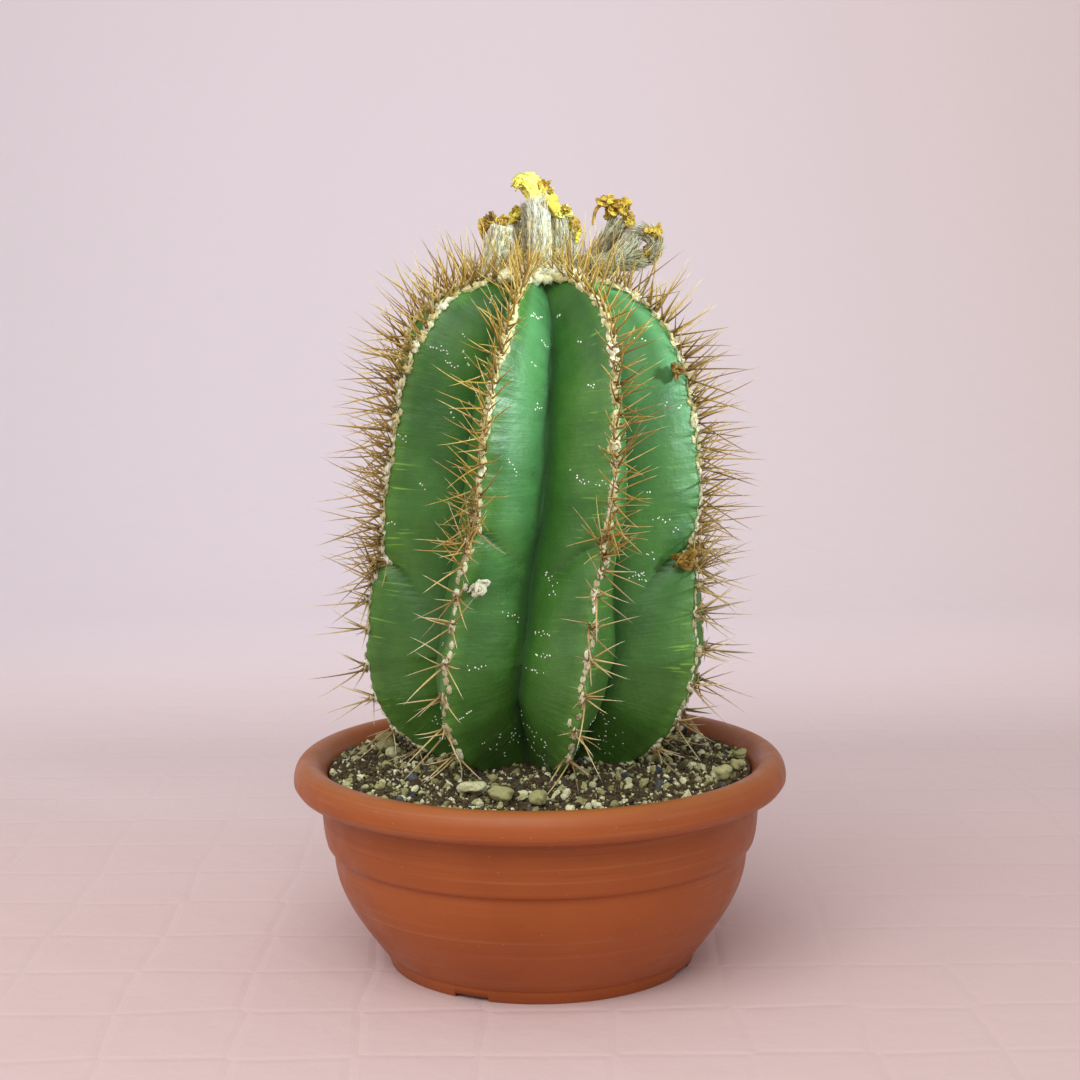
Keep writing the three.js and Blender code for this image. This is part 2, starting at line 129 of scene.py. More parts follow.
def gather(parts):
    """Several (points, faces) as one, and how many points each had."""
    points, faces, sizes, shift = [], [], [], 0
    for part_points, part_faces in parts:
        points.append(part_points)
        faces += [tuple(i + shift for i in face) for face in part_faces]
        shift += len(part_points)
        sizes.append(len(part_points))
    return np.vstack(points), faces, sizes


def smooth_line(knots, count):
    """Evenly spaced points on a smooth curve through the knots."""
    knots = np.asarray(knots, float)
    ends = np.vstack([2 * knots[0] - knots[1], knots, 2 * knots[-1] - knots[-2]])
    t = np.linspace(0, 1, 30, endpoint=False)[:, None]
    parts = [
        0.5 * (2 * b + (c - a) * t + (2 * a - 5 * b + 4 * c - d) * t**2 + (3 * b - a - 3 * c + d) * t**3)
        for a, b, c, d in zip(ends, ends[1:], ends[2:], ends[3:])
    ]
    fine = np.vstack([*parts, knots[-1:]])
    gone = np.concatenate([[0], np.cumsum(np.linalg.norm(np.diff(fine, axis=0), axis=1))])
    even = np.linspace(0, gone[-1], count)
    return np.stack([np.interp(even, gone, column) for column in fine.T], axis=1)


def unit(vectors):
    return vectors / np.maximum(np.linalg.norm(vectors, axis=-1, keepdims=True), 1e-12)


# %% [markdown]
# ## Building finishes
# Every finish is a small tree of nodes. A helper class keeps that readable: it makes a node, feeds its inputs,
# and hands back the socket that the next step needs. Numbers that are the same all over a surface go straight
# on the shader's own sockets, and only what changes from place to place comes through nodes.

# %% Finish helper
class Finish:
    """A procedural material that is built up step by step."""

    def __init__(self, name, **sockets):
        self.material = bpy.data.materials.new(name)
        self.material.use_nodes = True
        self.tree = self.material.node_tree
        self.shader = self.tree.nodes["Principled BSDF"]
        for socket, value in sockets.items():
            self.shader.inputs[socket.replace("_", " ")].default_value = value
        self.place = self.tree.nodes.new("ShaderNodeTexCoord").outputs["Object"]

    def link(self, source, socket):
        if isinstance(source, bpy.types.NodeSocket):
            self.tree.links.new(source, socket)
        else:
            socket.default_value = source

    def mark(self, name):
        """A number that the mesh holds at each point."""
        node = self.tree.nodes.new("ShaderNodeAttribute")
        node.attribute_name = name
        return node.outputs["Fac"]

    def mark_place(self, name):
        """A place that the mesh holds at each point."""
        node = self.tree.nodes.new("ShaderNodeAttribute")
        node.attribute_name = name
        return node.outputs["Vector"]

    def stretch(self, scale, place=None):
        node = self.tree.nodes.new("ShaderNodeMapping")
        self.link(place or self.place, node.inputs["Vector"])
        node.inputs["Scale"].default_value = scale
        return node.outputs["Vector"]

    def axis(self, letter):
        """How far a point lies along X, Y or Z, in metres."""
        node = self.tree.nodes.new("ShaderNodeSeparateXYZ")
        self.link(self.place, node.inputs[0])
        return node.outputs[letter]

    def noise(self, scale, detail=4.0, place=None, roughness=0.55):
        node = self.tree.nodes.new("ShaderNodeTexNoise")
        self.link(place or self.place, node.inputs["Vector"])
        node.inputs["Scale"].default_value = scale
        node.inputs["Detail"].default_value = detail
        node.inputs["Roughness"].default_value = roughness
        return node.outputs["Fac"]

    def cells(self, scale, place=None, output="Distance"):
        node = self.tree.nodes.new("ShaderNodeTexVoronoi")
        self.link(place or self.place, node.inputs["Vector"])
        node.inputs["Scale"].default_value = scale
        return node.outputs[output]

    def ramp(self, factor, *stops):
        """Colours or grey levels at given places along a factor."""
        node = self.tree.nodes.new("ShaderNodeValToRGB")
        self.link(factor, node.inputs["Fac"])
        elements = node.color_ramp.elements
        while len(elements) < len(stops):
            elements.new(0.5)
        for element, (position, colour) in zip(elements, stops):
            element.position = position
            element.color = (*colour, 1) if isinstance(colour, tuple) else (colour, colour, colour, 1)
        return node.outputs["Color"]

    def blend(self, factor, first, second, how="MIX"):
        node = self.tree.nodes.new("ShaderNodeMix")
        node.data_type = "RGBA"
        node.blend_type = how
        self.link(factor, node.inputs["Factor"])
        for value, socket in ((first, node.inputs[6]), (second, node.inputs[7])):
            self.link((*value, 1) if isinstance(value, tuple) else value, socket)
        return node.outputs[2]

    def maths(self, how, first, second=0.0):
        node = self.tree.nodes.new("ShaderNodeMath")
        node.operation = how
        self.link(first, node.inputs[0])
        self.link(second, node.inputs[1])
        return node.outputs[0]

    def colour(self, source):
        self.link(source, self.shader.inputs["Base Color"])

    def rough(self, source):
        self.link(source, self.shader.inputs["Roughness"])

    def relief(self, *layers):
        """Bumps, one after another, each a height and a depth in metres."""
        normal = None
        for height, depth in layers:
            node = self.tree.nodes.new("ShaderNodeBump")
            self.link(height, node.inputs["Height"])
            node.inputs["Distance"].default_value = depth
            if normal:
                self.link(normal, node.inputs["Normal"])
            normal = node.outputs["Normal"]
        self.link(normal, self.shader.inputs["Normal"])


# %% [markdown]
# ## Floor, wall and light
# The backdrop is one sheet of pale pink cloth with a pressed pattern of squares. It curves up well behind the
# plant, so that a view from behind isn't blocked. A large soft lamp above the camera lights everything, a weak
# one fills the left side, and a third is there for the cloth. A narrow cool beam from the right stands in for a
# window: it brightens the upper flanks that face it.

# %% Floor and backdrop
def add_backdrop(width, front, back, height, radius):
    steps = 40
    profile = [(front, 0.0), (back - radius, 0.0)]
    for i in range(1, steps + 1):
        a = math.pi / 2 * i / steps
        profile.append((back - radius + radius * math.sin(a), radius - radius * math.cos(a)))
    profile.append((back, height))
    points = [(side * width / 2, y, z) for y, z in profile for side in (-1, 1)]
    faces = [(2 * i, 2 * i + 1, 2 * i + 3, 2 * i + 2) for i in range(len(profile) - 1)]
    finish = Finish("pale_backdrop", Roughness=0.85)
    shade = finish.noise(3.0, 3)
    cloth = finish.ramp(shade, (0.3, (0.66, 0.50, 0.49)), (0.7, (0.69, 0.525, 0.515)))
    # Painted light: the wall gets its own colour, lighter than the floor, bluish grey on the left and darker
    # and warmer on the right, as the lamps fall on it.
    wall_painted_light = finish.ramp(finish.axis("X"), (0.0, (0.70, 0.63, 0.67)), (1.0, (0.70, 0.585, 0.58)))
    far = finish.ramp(finish.axis("Y"), (0.1, 0.0), (1.0, 1.0))
    finish.colour(finish.blend(far, cloth, wall_painted_light))
    squares = finish.tree.nodes.new("ShaderNodeTexVoronoi")
    squares.feature = "DISTANCE_TO_EDGE"
    finish.link(finish.place, squares.inputs["Vector"])
    squares.inputs["Scale"].default_value = 17.0
    squares.inputs["Randomness"].default_value = 0.12
    seams = finish.ramp(squares.outputs["Distance"], (0.0, 0.0), (0.07, 1.0))
    seams = finish.blend(far, seams, (1.0, 1.0, 1.0))
    finish.relief((seams, 0.00035), (finish.noise(30.0, 4), 0.0012))
    sheet = add_object("backdrop", points, faces, finish.material)
    return sheet


add_backdrop(width=7.0, front=-2.2, back=1.95, height=3.2, radius=0.9)
print("backdrop ready")


# %% Lights
def hang_lamp(data, place, aim, power, colour):
    """Puts a lamp at a place and turns it to look at another."""
    data.energy = power
    data.color = colour
    lamp = bpy.data.objects.new(data.name, data)
    lamp.location = place
    lamp.rotation_euler = (Vector(aim) - Vector(place)).to_track_quat("-Z", "Y").to_euler()
    bpy.context.collection.objects.link(lamp)
    return lamp


def add_soft_box(name, place, aim, size, power, colour):
    data = bpy.data.lights.new(name, "AREA")
    data.shape = "SQUARE"
    data.size = size
    return hang_lamp(data, place, aim, power, colour)


def add_beam(name, place, aim, radius, cone, power, colour):
    data = bpy.data.lights.new(name, "SPOT")
    data.shadow_soft_size = radius
    data.spot_size = math.radians(cone)
    data.spot_blend = 1.0
    return hang_lamp(data, place, aim, power, colour)


add_soft_box("key", (-0.3, -1.15, 1.45), (0, 0, 0.22), 1.4, 20, (0.98, 1.0, 0.99))
add_soft_box("backdrop_light", (0, 0.6, 0.95), (0, 1.9, 0.75), 1.2, 5.5, (1.0, 0.98, 1.0))
add_soft_box("fill_left", (-1.35, -0.75, 0.85), (0, 0, 0.2), 1.0, 4, (1.0, 0.98, 0.96))
add_beam("window", (1.12, -0.66, 0.70), (0.0, -0.03, 0.37), 0.15, 18.5, 150, (0.8, 1.0, 1.0))

world = bpy.data.worlds.new("room")
world.use_nodes = True
sky = world.node_tree.nodes["Background"].inputs
sky["Color"].default_value = (1.0, 0.97, 0.96, 1)
sky["Strength"].default_value = 0.64
bpy.context.scene.world = world
bpy.context.scene.view_settings.view_transform = "Standard"
print("lights ready")

# %% [markdown]
# ## The pot
# The real pot is injection moulded: one wall of even thickness, turned down at the rim so that it feels thick.
# A turned profile gives that shape. The drain holes and the four notches of the foot are cut with a boolean,
# because they break the turned form.

# %% Turned shapes
def turned(profile, columns):
    """Points and faces of an outline turned about Z, whose first and last points lie on the axis."""
    azimuth = np.linspace(0, 2 * np.pi, columns, endpoint=False)
    body = np.asarray(profile[1:-1], float)
    ring = np.stack([np.sin(azimuth), -np.cos(azimuth)], axis=1)
    points = np.concatenate([np.c_[r * ring, np.full(columns, z)] for r, z in body])
    poles = [(0, 0, profile[0][1]), (0, 0, profile[-1][1])]
    return np.vstack([points, poles]), capped_faces(len(body), columns)


def arc(centre, radii, start, end, steps):
    """Points of an elliptic arc in a profile, between two angles in degrees from the outward direction."""
    angles = np.radians(np.linspace(start, end, steps + 1))
    return [(centre[0] + radii[0] * math.cos(a), centre[1] + radii[1] * math.sin(a)) for a in angles]


# %% Pot profile
rim_radius = pot_high.x
pot_height = pot_high.z
wall = 2.5 * MM
neck_radius = rim_radius - 14 * MM
neck_low = pot_height - 40 * MM
bowl_radius = neck_radius - 5.7 * MM
bowl_top = neck_low - 8 * MM
foot_radius = 78 * MM
foot_height = 7 * MM
floor_low, floor_high = 4 * MM, 7 * MM


def bowl_outside(z):
    start = foot_radius + 2.6 * MM
    share = (z - foot_height) / (bowl_top - foot_height)
    return start + (bowl_radius - start) * math.sin(math.pi / 2 * share)


def pot_profile():
    """From the middle of the underside, out and up the outside, over the rim and down the inside."""
    lip = pot_height - 15.5 * MM
    roll_middle = pot_height - 10 * MM
    crest = rim_radius - 7 * MM
    bowl = [(bowl_outside(z), z) for z in np.linspace(foot_height + 0.6 * MM, bowl_top, 22)]
    inside = neck_radius - 3.2 * MM
    return [
        (0, floor_low),
        (foot_radius - 4.0 * MM, floor_low),
        (foot_radius - 3.5 * MM, floor_low - 0.5 * MM),
        (foot_radius - 3.5 * MM, 0.4 * MM),
        (foot_radius - 3.1 * MM, 0),
        (foot_radius - 0.6 * MM, 0),
        (foot_radius - 0.1 * MM, 0.5 * MM),
        (foot_radius + 1.6 * MM, foot_height - 1.2 * MM),
        (foot_radius + 1.7 * MM, foot_height - 0.4 * MM),
        (foot_radius + 2.2 * MM, foot_height),
        *bowl,
        *arc((neck_radius - 6.0 * MM, neck_low - 0.6 * MM), (4.3 * MM, 5.0 * MM), -82, -15, 7),
        (neck_radius - 1.5 * MM, neck_low),
        (neck_radius - 1.2 * MM, neck_low + 0.7 * MM),
        (neck_radius - 0.6 * MM, neck_low + 5 * MM),
        (neck_radius, neck_low + 12 * MM),
        (neck_radius, neck_low + 27 * MM),
        (neck_radius + 0.8 * MM, pot_height - 7.6 * MM),
        (neck_radius + 3 * MM, pot_height - 5 * MM),
        (crest, pot_height - 4.2 * MM),
        (rim_radius - 4.2 * MM, roll_middle + 1 * MM),
        (rim_radius - 5 * MM, lip + 1.2 * MM),
        (rim_radius - 4.5 * MM, lip + 0.2 * MM),
        (rim_radius - 3.4 * MM, lip),
        (rim_radius - 2.4 * MM, lip + 0.5 * MM),
        (rim_radius - 1.0 * MM, lip + 2.4 * MM),
        *arc((crest, roll_middle), (7 * MM, 10 * MM), -10, 84, 16),
        (crest - 1.5 * MM, pot_height - 0.1 * MM),
        (crest - 4.2 * MM, pot_height - 0.9 * MM),
        (crest - 6.0 * MM, pot_height - 2.4 * MM),
        (inside + 0.5 * MM, pot_height - 6.5 * MM),
        (inside, pot_height - 9 * MM),
        (inside - 1.0 * MM, neck_low),
        *[(r - wall, z) for r, z in reversed(bowl[1:])],
        (bowl_outside(foot_height) - wall - 3 * MM, floor_high),
        (0, floor_high),
    ]


print("pot wall", wall, "and rim", round(rim_radius, 4))


# %% Terracotta-coloured plastic
def plastic_finish():
    finish = Finish("terracotta_plastic", Roughness=0.4, Specular_IOR_Level=0.32)
    clouds = finish.noise(14.0, 5)
    tones = (0.32, (0.29, 0.066, 0.012)), (0.5, (0.33, 0.076, 0.014)), (0.7, (0.36, 0.086, 0.018))
    base = finish.ramp(clouds, *tones)
    drawn = finish.stretch((5, 5, 420))
    streaks = finish.noise(1.0, 5, drawn, 0.65)
    base = finish.blend(finish.ramp(streaks, (0.56, 0.0), (0.72, 0.42)), base, (0.42, 0.17, 0.075))
    base = finish.blend(finish.ramp(streaks, (0.26, 0.45), (0.4, 0.0)), base, (0.17, 0.042, 0.012))
    dust = finish.cells(160.0)
    base = finish.blend(finish.ramp(dust, (0.0, 0.55), (0.075, 0.0)), base, (0.55, 0.33, 0.2))
    # Dust and painted light: the rim above the shoulder is lighter and yellower, partly dust and partly painted
    # light from the lamps above.
    rim_dust_and_painted_light = finish.ramp(finish.axis("Z"), (0.100, 0.0), (0.110, 0.6))
    base = finish.blend(rim_dust_and_painted_light, base, (0.30, 0.13, 0.032))
    finish.colour(base)
    worn = finish.noise(60.0, 6)
    finish.rough(finish.ramp(worn, (0.3, 0.34), (0.75, 0.56)))
    grain = finish.noise(900.0, 3)
    finish.relief((streaks, 0.00022), (grain, 0.00006))
    return finish.material


plastic = plastic_finish()


# %% Build the pot
def cutter(name, points, faces):
    tool = add_object(name, points, faces, plastic, smooth=False)
    tool.hide_render = True
    return tool


def cylinder(radius, low, high, x, y, sides=48):
    a = np.linspace(0, 2 * np.pi, sides, endpoint=False)
    ring = np.c_[x + radius * np.cos(a), y + radius * np.sin(a)]
    points = np.vstack([np.c_[ring, np.full(sides, low)], np.c_[ring, np.full(sides, high)]])
    faces = grid_faces(2, sides) + [tuple(range(sides))[::-1], tuple(range(sides, 2 * sides))]
    return points, faces


def block(width, depth, height, azimuth, radius):
    across = np.array([math.cos(azimuth), math.sin(azimuth), 0])
    out = np.array([math.sin(azimuth), -math.cos(azimuth), 0])
    up = np.array([0, 0, 1.0])
    corners = [(-1, -1), (1, -1), (1, 1), (-1, 1)]
    points = [
        out * (radius + s * depth / 2) + across * r * width / 2 + up * level
        for level in (-height, height)
        for r, s in corners
    ]
    sides = [(0, 4, 5, 1), (1, 5, 6, 2), (2, 6, 7, 3), (3, 7, 4, 0)]
    return np.array(points), [(0, 1, 2, 3), (7, 6, 5, 4), *sides]


def cut(piece, tools):
    """Cuts the tools out of a piece for good, then removes them."""
    for tool in tools:
        step = piece.modifiers.new("cut", "BOOLEAN")
        step.operation = "DIFFERENCE"
        step.solver = "EXACT"
        step.object = tool
        bpy.context.view_layer.objects.active = piece
        bpy.ops.object.modifier_apply(modifier=step.name)
        bpy.data.objects.remove(tool, do_unlink=True)


outer_holes = 6
hole_radius = 5 * MM
hole_ring = 48 * MM
first_notch = -26


def build_pot():
    """The turned bowl with a middle drain hole, a ring of others and four notches in the foot."""
    points, faces = turned(pot_profile(), 224)
    pot = add_piece("bowl_pot", points, faces, plastic, ["pot"])
    tools = []
    for i in range(outer_holes + 1):
        a = 2 * math.pi * i / outer_holes
        reach = 0 if i == outer_holes else hole_ring
        low, high = floor_low - hole_radius, floor_high + hole_radius
        hole = cylinder(hole_radius, low, high, reach * math.sin(a), -reach * math.cos(a))
        tools.append(cutter(f"hole_{i}", *hole))
    for i in range(4):
        azimuth = math.radians(first_notch + 90 * i)
        notch = block(18 * MM, 12 * MM, 2.2 * MM, azimuth, foot_radius - 1.7 * MM)
        tools.append(cutter(f"notch_{i}", *notch))
    cut(pot, tools)
    return pot


pot = build_pot()

# %% [markdown]
# ## The stem
# The stem is one grown body, so it is one mesh: a grid that runs up the crest lines and round the eight ribs.
# Each point starts on the crest's outline and drops in towards the groove. Three things make it look grown:
# the ribs turn slowly as they climb, a fold crosses every flank where growth stopped for a winter, and small
# ripples pull at the crests. All later pieces ask the same function where the skin is.

# %% Crest outline
rib_count = 8
belly = 88.7 * MM
waist = 84.0 * MM
chest = 84.4 * MM
shoulder = 72.7 * MM
low_z, top_z = stem_low.z, stem_high.z
stem_back = 8 * MM
groove_depth = 30 * MM
full_groove_radius = 75 * MM

crest_knots = [
    (0, low_z),
    (30 * MM, low_z + 3 * MM),
    (50 * MM, low_z + 15 * MM),
    (66.5 * MM, low_z + 25 * MM),
    (80 * MM, low_z + 40 * MM),
    (belly - 1 * MM, low_z + 63 * MM),
    (belly, low_z + 80 * MM),
    (waist, low_z + 113 * MM),
    (chest, low_z + 142 * MM),
    (79.8 * MM, top_z - 71 * MM),
    (shoulder, top_z - 41 * MM),
    (62.0 * MM, top_z - 21 * MM),
    (50.0 * MM, top_z - 10 * MM),
    (35.0 * MM, top_z - 3 * MM),
    (16 * MM, top_z),
    (0, top_z - 3 * MM),
]
crest = smooth_line(crest_knots, 1500)
crest_share = np.linspace(0, 1, len(crest))
crest_length = np.linalg.norm(np.diff(crest, axis=0), axis=1).sum()
crest_heading = unit(np.gradient(crest, axis=0))
print("crest line is", round(crest_length, 3), "m long")


# %% Where the skin is
def along_crest(share, column):
    return np.interp(share, crest_share, column)


def twist_at(z):
    """How far the ribs have turned towards the right at a height."""
    heights = np.array([0.088, 0.117, 0.138, 0.169, 0.2, 0.23, 0.26, 0.29, 0.315, 0.335, 0.346])
    turns = np.array([-12, -11.5, -9.8, -6.6, -4.0, 0.2, 2.2, 4.2, 8.6, 12.3, 14.0])
    return np.radians(np.interp(z, heights, turns))


def sway_at(z):
    return 3.0 * MM * np.sin(np.pi * np.clip((z - 0.196) / 0.14, 0, 1))


def flank_fall(share):
    """How deep the flank lies, from 0 on the crest to 1 in the groove. It swells between them like a pillow."""
    blunt, fullness, swell = 0.05, 0.78, 0.08
    rise = np.hypot(share, blunt) ** fullness
    plain = (rise - blunt**fullness) / (math.hypot(1, blunt) ** fullness - blunt**fullness)
    return plain - swell * np.sin(np.pi * share**1.25)


# The height of the crease where growth stopped for a winter, for each rib.
fold_height = MM * np.array([221.0, 212.0, 204.0, 201.0, 208.0, 203.0, 207.0, 228.0])


def above_fold(z, rib, side):
    """How far a point lies above the crease where growth once stopped. The crease sinks towards the groove."""
    return z - np.interp(rib, np.arange(rib_count), fold_height) + 34 * MM * side**1.3


def winter_fold(z, rib, side):
    """The crease itself: a narrow fold, easing out above, over a full lobe."""
    gap = above_fold(z, rib, side)
    above = 0.45 * np.exp(-np.maximum(gap, 0) / (2.2 * MM)) + 0.55 * np.exp(-np.maximum(gap, 0) / (13 * MM))
    below = np.exp(-((np.minimum(gap, 0) / (1.5 * MM)) ** 2))
    lobe = 2.6 * MM * np.exp(-(((gap + 15 * MM) / (11 * MM)) ** 2))
    fade = np.clip((0.92 - side) / 0.75, 0, 1)
    return fade * (6.0 * MM * np.where(gap > 0, above, below) - lobe)


# How dark the painted shade line in each rib's crease is.
crease_shade_strength = np.array([0.5, 1.0, 0.6, 0.5, 0.7, 0.5, 0.8, 1.0])


def crease_painted_shade(z, rib, side):
    """How strongly painted shade darkens the crease line at a point."""
    gap = above_fold(z, rib, side)
    narrow = np.exp(-(((gap - 0.2 * MM) / (0.9 * MM)) ** 2))
    return crease_shade_strength[rib] * narrow * np.clip((0.62 - side) / 0.4, 0, 1)


def ripples(z, rib, side):
    """Small pulls across the crests, and slow unevenness over the flanks."""
    near = np.exp(-((side / 0.16) ** 2))
    pulls = 0.22 * MM * np.sin(z / (0.95 * MM) + 2.1 * rib) * near
    slow = 0.9 * MM * np.sin(z / (19 * MM) + 1.7 * rib + 2.2 * side) * np.sin(z / (8.3 * MM) + 0.6 * rib)
    folds = 0.35 * MM * np.sin(z / (3.1 * MM) + 2.7 * rib + 3 * side) * np.exp(-((side - 0.1) / 0.25) ** 2)
    return pulls + folds + slow * (0.3 + 0.7 * side)


def stem_point(share, rib, side, lift=0.0):
    """A point on the skin. share runs up the crest line, and side runs from -1 to 1 across one rib."""
    share, rib, side = np.broadcast_arrays(np.asarray(share, float), rib, side)
    r, z = along_crest(share, crest[:, 0]), along_crest(share, crest[:, 1])
    out_r, out_z = along_crest(share, crest_heading[:, 1]), -along_crest(share, crest_heading[:, 0])
    away = np.abs(side)
    depth = groove_depth * 0.5 * (1 - np.cos(np.pi * np.minimum(1, r / full_groove_radius)))
    calm = np.clip(r / (45 * MM), 0, 1)
    fall = depth * flank_fall(away) + calm * (winter_fold(z, rib, away) + ripples(z, rib, away)) - lift
    radius = np.maximum(r - fall * out_r, 0)
    azimuth = (rib + 0.5 + side / 2) * 2 * np.pi / rib_count + twist_at(z)
    return np.stack(
        [radius * np.sin(azimuth) + sway_at(z), stem_back - radius * np.cos(azimuth), z - fall * out_z], axis=-1
    )


def skin_frame(share, rib, side):
    """A point on the skin with the directions across the rib, up it and out of it."""
    step = 0.004
    up = unit(stem_point(share + step, rib, side) - stem_point(share - step, rib, side))
    across = stem_point(share, rib, side + 0.05) - stem_point(share, rib, side - 0.05)
    out = unit(np.cross(across, up))
    return stem_point(share, rib, side), np.cross(up, out), up, out


# %% [markdown]
# ### Skin
# The skin is waxy: satin, with soft highlights. Its colour isn't one green. It is yellower towards the crests
# and tinted a corky brown at the foot, where it is oldest, and it is painted darker in the grooves as painted
# shade. Pale dashes, which are stretched marks, cross it near the crests. They follow the rib, so they are
# drawn in its own coordinates, which the mesh holds. The crease has a painted dark line of shade, and the
# flanks that face the window carry a painted pale bluish sheen of its light.

# %% Stem skin finish
def skin_finish():
    finish = Finish("stem_skin", Roughness=0.4, Specular_IOR_Level=0.36, Coat_Weight=0.08, Coat_Roughness=0.3)
    side, height = finish.mark("side"), finish.mark("height")
    flank = finish.mark_place("flank")
    clouds = finish.noise(26.0, 5)
    greens = (0.3, (0.018, 0.074, 0.010)), (0.5, (0.035, 0.126, 0.016)), (0.72, (0.068, 0.190, 0.026))
    green = finish.ramp(clouds, *greens)
    old = finish.ramp(height, (0.12, 0.55), (0.5, 0.0))
    green = finish.blend(old, green, (0.075, 0.175, 0.028))
    crest_tint = finish.ramp(side, (0.0, 0.55), (0.2, 0.0))
    green = finish.blend(crest_tint, green, (0.13, 0.27, 0.045))
    # Painted shade: the skin darkens towards the floor of each groove.
    groove_painted_shade = finish.ramp(side, (0.78, 0.0), (1.0, 0.75))
    green = finish.blend(groove_painted_shade, green, (0.018, 0.075, 0.018))
    speckle = finish.noise(420.0, 4)
    green = finish.blend(finish.ramp(speckle, (0.35, 0.3), (0.5, 0.0)), green, (0.03, 0.12, 0.02))
    dashes = finish.noise(1.0, 2, finish.stretch((0.07, 0.75, 1.0), flank), 0.4)
    near = finish.ramp(side, (0.06, 1.0), (0.6, 0.0))
    groups = finish.ramp(finish.noise(28.0, 2), (0.45, 0.0), (0.58, 1.0))
    near = finish.maths("MULTIPLY", near, groups)
    dashes = finish.maths("MULTIPLY", finish.ramp(dashes, (0.63, 0.0), (0.69, 0.7)), near)
    green = finish.blend(dashes, green, (0.26, 0.50, 0.05))
    bloom = finish.noise(11.0, 4, roughness=0.7)
    green = finish.blend(finish.ramp(bloom, (0.6, 0.0), (0.85, 0.22)), green, (0.16, 0.33, 0.2))
    # Painted light: a pale bluish sheen of the window beam on the upper flanks that face it.
    painted_window_sheen = finish.ramp(finish.noise(34.0, 4), (0.25, 0.55), (0.7, 0.95))
    painted_window_sheen = finish.maths("MULTIPLY", finish.mark("painted_window_sheen"), painted_window_sheen)
    green = finish.blend(painted_window_sheen, green, (0.10, 0.30, 0.115))
    # Painted shade: a dark line along the winter crease.
    green = finish.blend(finish.maths("MULTIPLY", finish.mark("crease_shade"), 0.95), green, (0.006, 0.030, 0.005))
    foot = finish.ramp(height, (0.03, 1.0), (0.13, 0.0))
    cork = finish.maths("MULTIPLY", foot, finish.ramp(side, (0.3, 0.0), (0.8, 1.0)))
    cork = finish.maths("MULTIPLY", cork, finish.ramp(finish.noise(90.0, 4), (0.35, 0.0), (0.55, 1.0)))
    green = finish.blend(cork, green, (0.10, 0.055, 0.022))
    finish.colour(green)
    satin = finish.ramp(finish.noise(55.0, 5), (0.3, 0.36), (0.7, 0.5))
    finish.rough(finish.maths("MAXIMUM", satin, finish.ramp(side, (0.8, 0.0), (0.95, 0.9))))
    pores = finish.noise(700.0, 3)
    cross = finish.noise(1.0, 4, finish.stretch((0.05, 0.45, 1.0), flank))
    finish.relief((cross, 0.00025), (finish.noise(85.0, 4), 0.0007), (speckle, 0.00012), (pores, 0.00005))
    return finish.material


skin = skin_finish()


# %% Build the stem
window_azimuth = 48
flank_turn = 55


def build_stem():
    """One closed grid: columns close together at crest and groove, by rows along the crest line."""
    half = 16
    even = np.linspace(0, 1, half + 1)
    spread = 0.5 * even + 0.5 * (1 - np.cos(np.pi * even)) / 2
    sides = np.concatenate([-spread[1:][::-1], spread[:-1]])
    rib = np.repeat(np.arange(rib_count), len(sides))
    side = np.tile(sides, rib_count)
    rows = 330
    share = np.linspace(0, 1, rows + 2)[1:-1]
    grid = stem_point(share[:, None], rib[None, :], side[None, :])
    points = np.vstack([grid.reshape(-1, 3), [(0, stem_back, low_z), (0, stem_back, top_z - 3 * MM)]])
    height = (grid[..., 2] - low_z) / (top_z - low_z)
    around = (side[None, :] * 33 + 400 * rib[None, :]) * np.ones((rows, 1))
    climb = share[:, None] * crest_length / MM * np.ones((1, len(side)))
    flank = np.stack([around, climb, np.zeros_like(climb)], axis=-1)
    grid_z = along_crest(share, crest[:, 1])[:, None]
    # Painted light: how much painted sheen of the window beam each point gets, most on the upper flanks facing
    # it.
    facing = (rib + 0.5) * 360 / rib_count + flank_turn * np.clip(3 * side, -1, 1) - window_azimuth
    facing = (facing + 180) % 360 - 180
    painted_window_sheen_amount = 1.1 * np.exp(-((facing / 25) ** 2)) * np.interp(height, [0.34, 0.8], [0, 1])
    crease_shade = crease_painted_shade(grid_z, rib[None, :], np.abs(side)[None, :])
    marks = {
        "painted_window_sheen": np.append(painted_window_sheen_amount.ravel(), [0, 0]),
        "crease_shade": np.append(crease_shade.ravel(), [0, 0]),
        "side": np.append(np.tile(np.abs(side), rows), [1, 1]),
        "height": np.append(height.ravel(), [0, 1]),
        "flank": np.vstack([flank.reshape(-1, 3), [(0, 0, 0), (0, 0, 0)]]),
    }
    faces = capped_faces(rows, len(side))
    return add_piece("cactus_stem", points, faces, skin, ["stem"], marks=marks)


build_stem()

# %% [markdown]
# ## Scattering small things
# Felt, spines, grains and crumbs come in thousands. Two helpers make them all: one repeats a small lump with
# its own size, turn and dents, and the other makes tapered, bent needles. Both work on whole arrays, which is
# much faster than one object for each, and keeps each kind in one mesh.

# %% Lumps
def ball(level):
    """Points and triangles of an icosphere of radius 1."""
    mesh = bpy.data.meshes.new("ball")
    shape = bmesh.new()
    bmesh.ops.create_icosphere(shape, subdivisions=level, radius=1)
    shape.to_mesh(mesh)
    shape.free()
    points = np.array([v.co for v in mesh.vertices])
    faces = np.array([p.vertices for p in mesh.polygons])
    bpy.data.meshes.remove(mesh)
    return points, faces


def random_turns(rng, count):
    """Random rotation matrices."""
    q = unit(rng.normal(size=(count, 4)))
    w, x, y, z = q.T
    return np.stack([
        np.stack([1 - 2 * (y * y + z * z), 2 * (x * y - z * w), 2 * (x * z + y * w)], -1),
        np.stack([2 * (x * y + z * w), 1 - 2 * (x * x + z * z), 2 * (y * z - x * w)], -1),
        np.stack([2 * (x * z - y * w), 2 * (y * z + x * w), 1 - 2 * (x * x + y * y)], -1),
    ], -2)


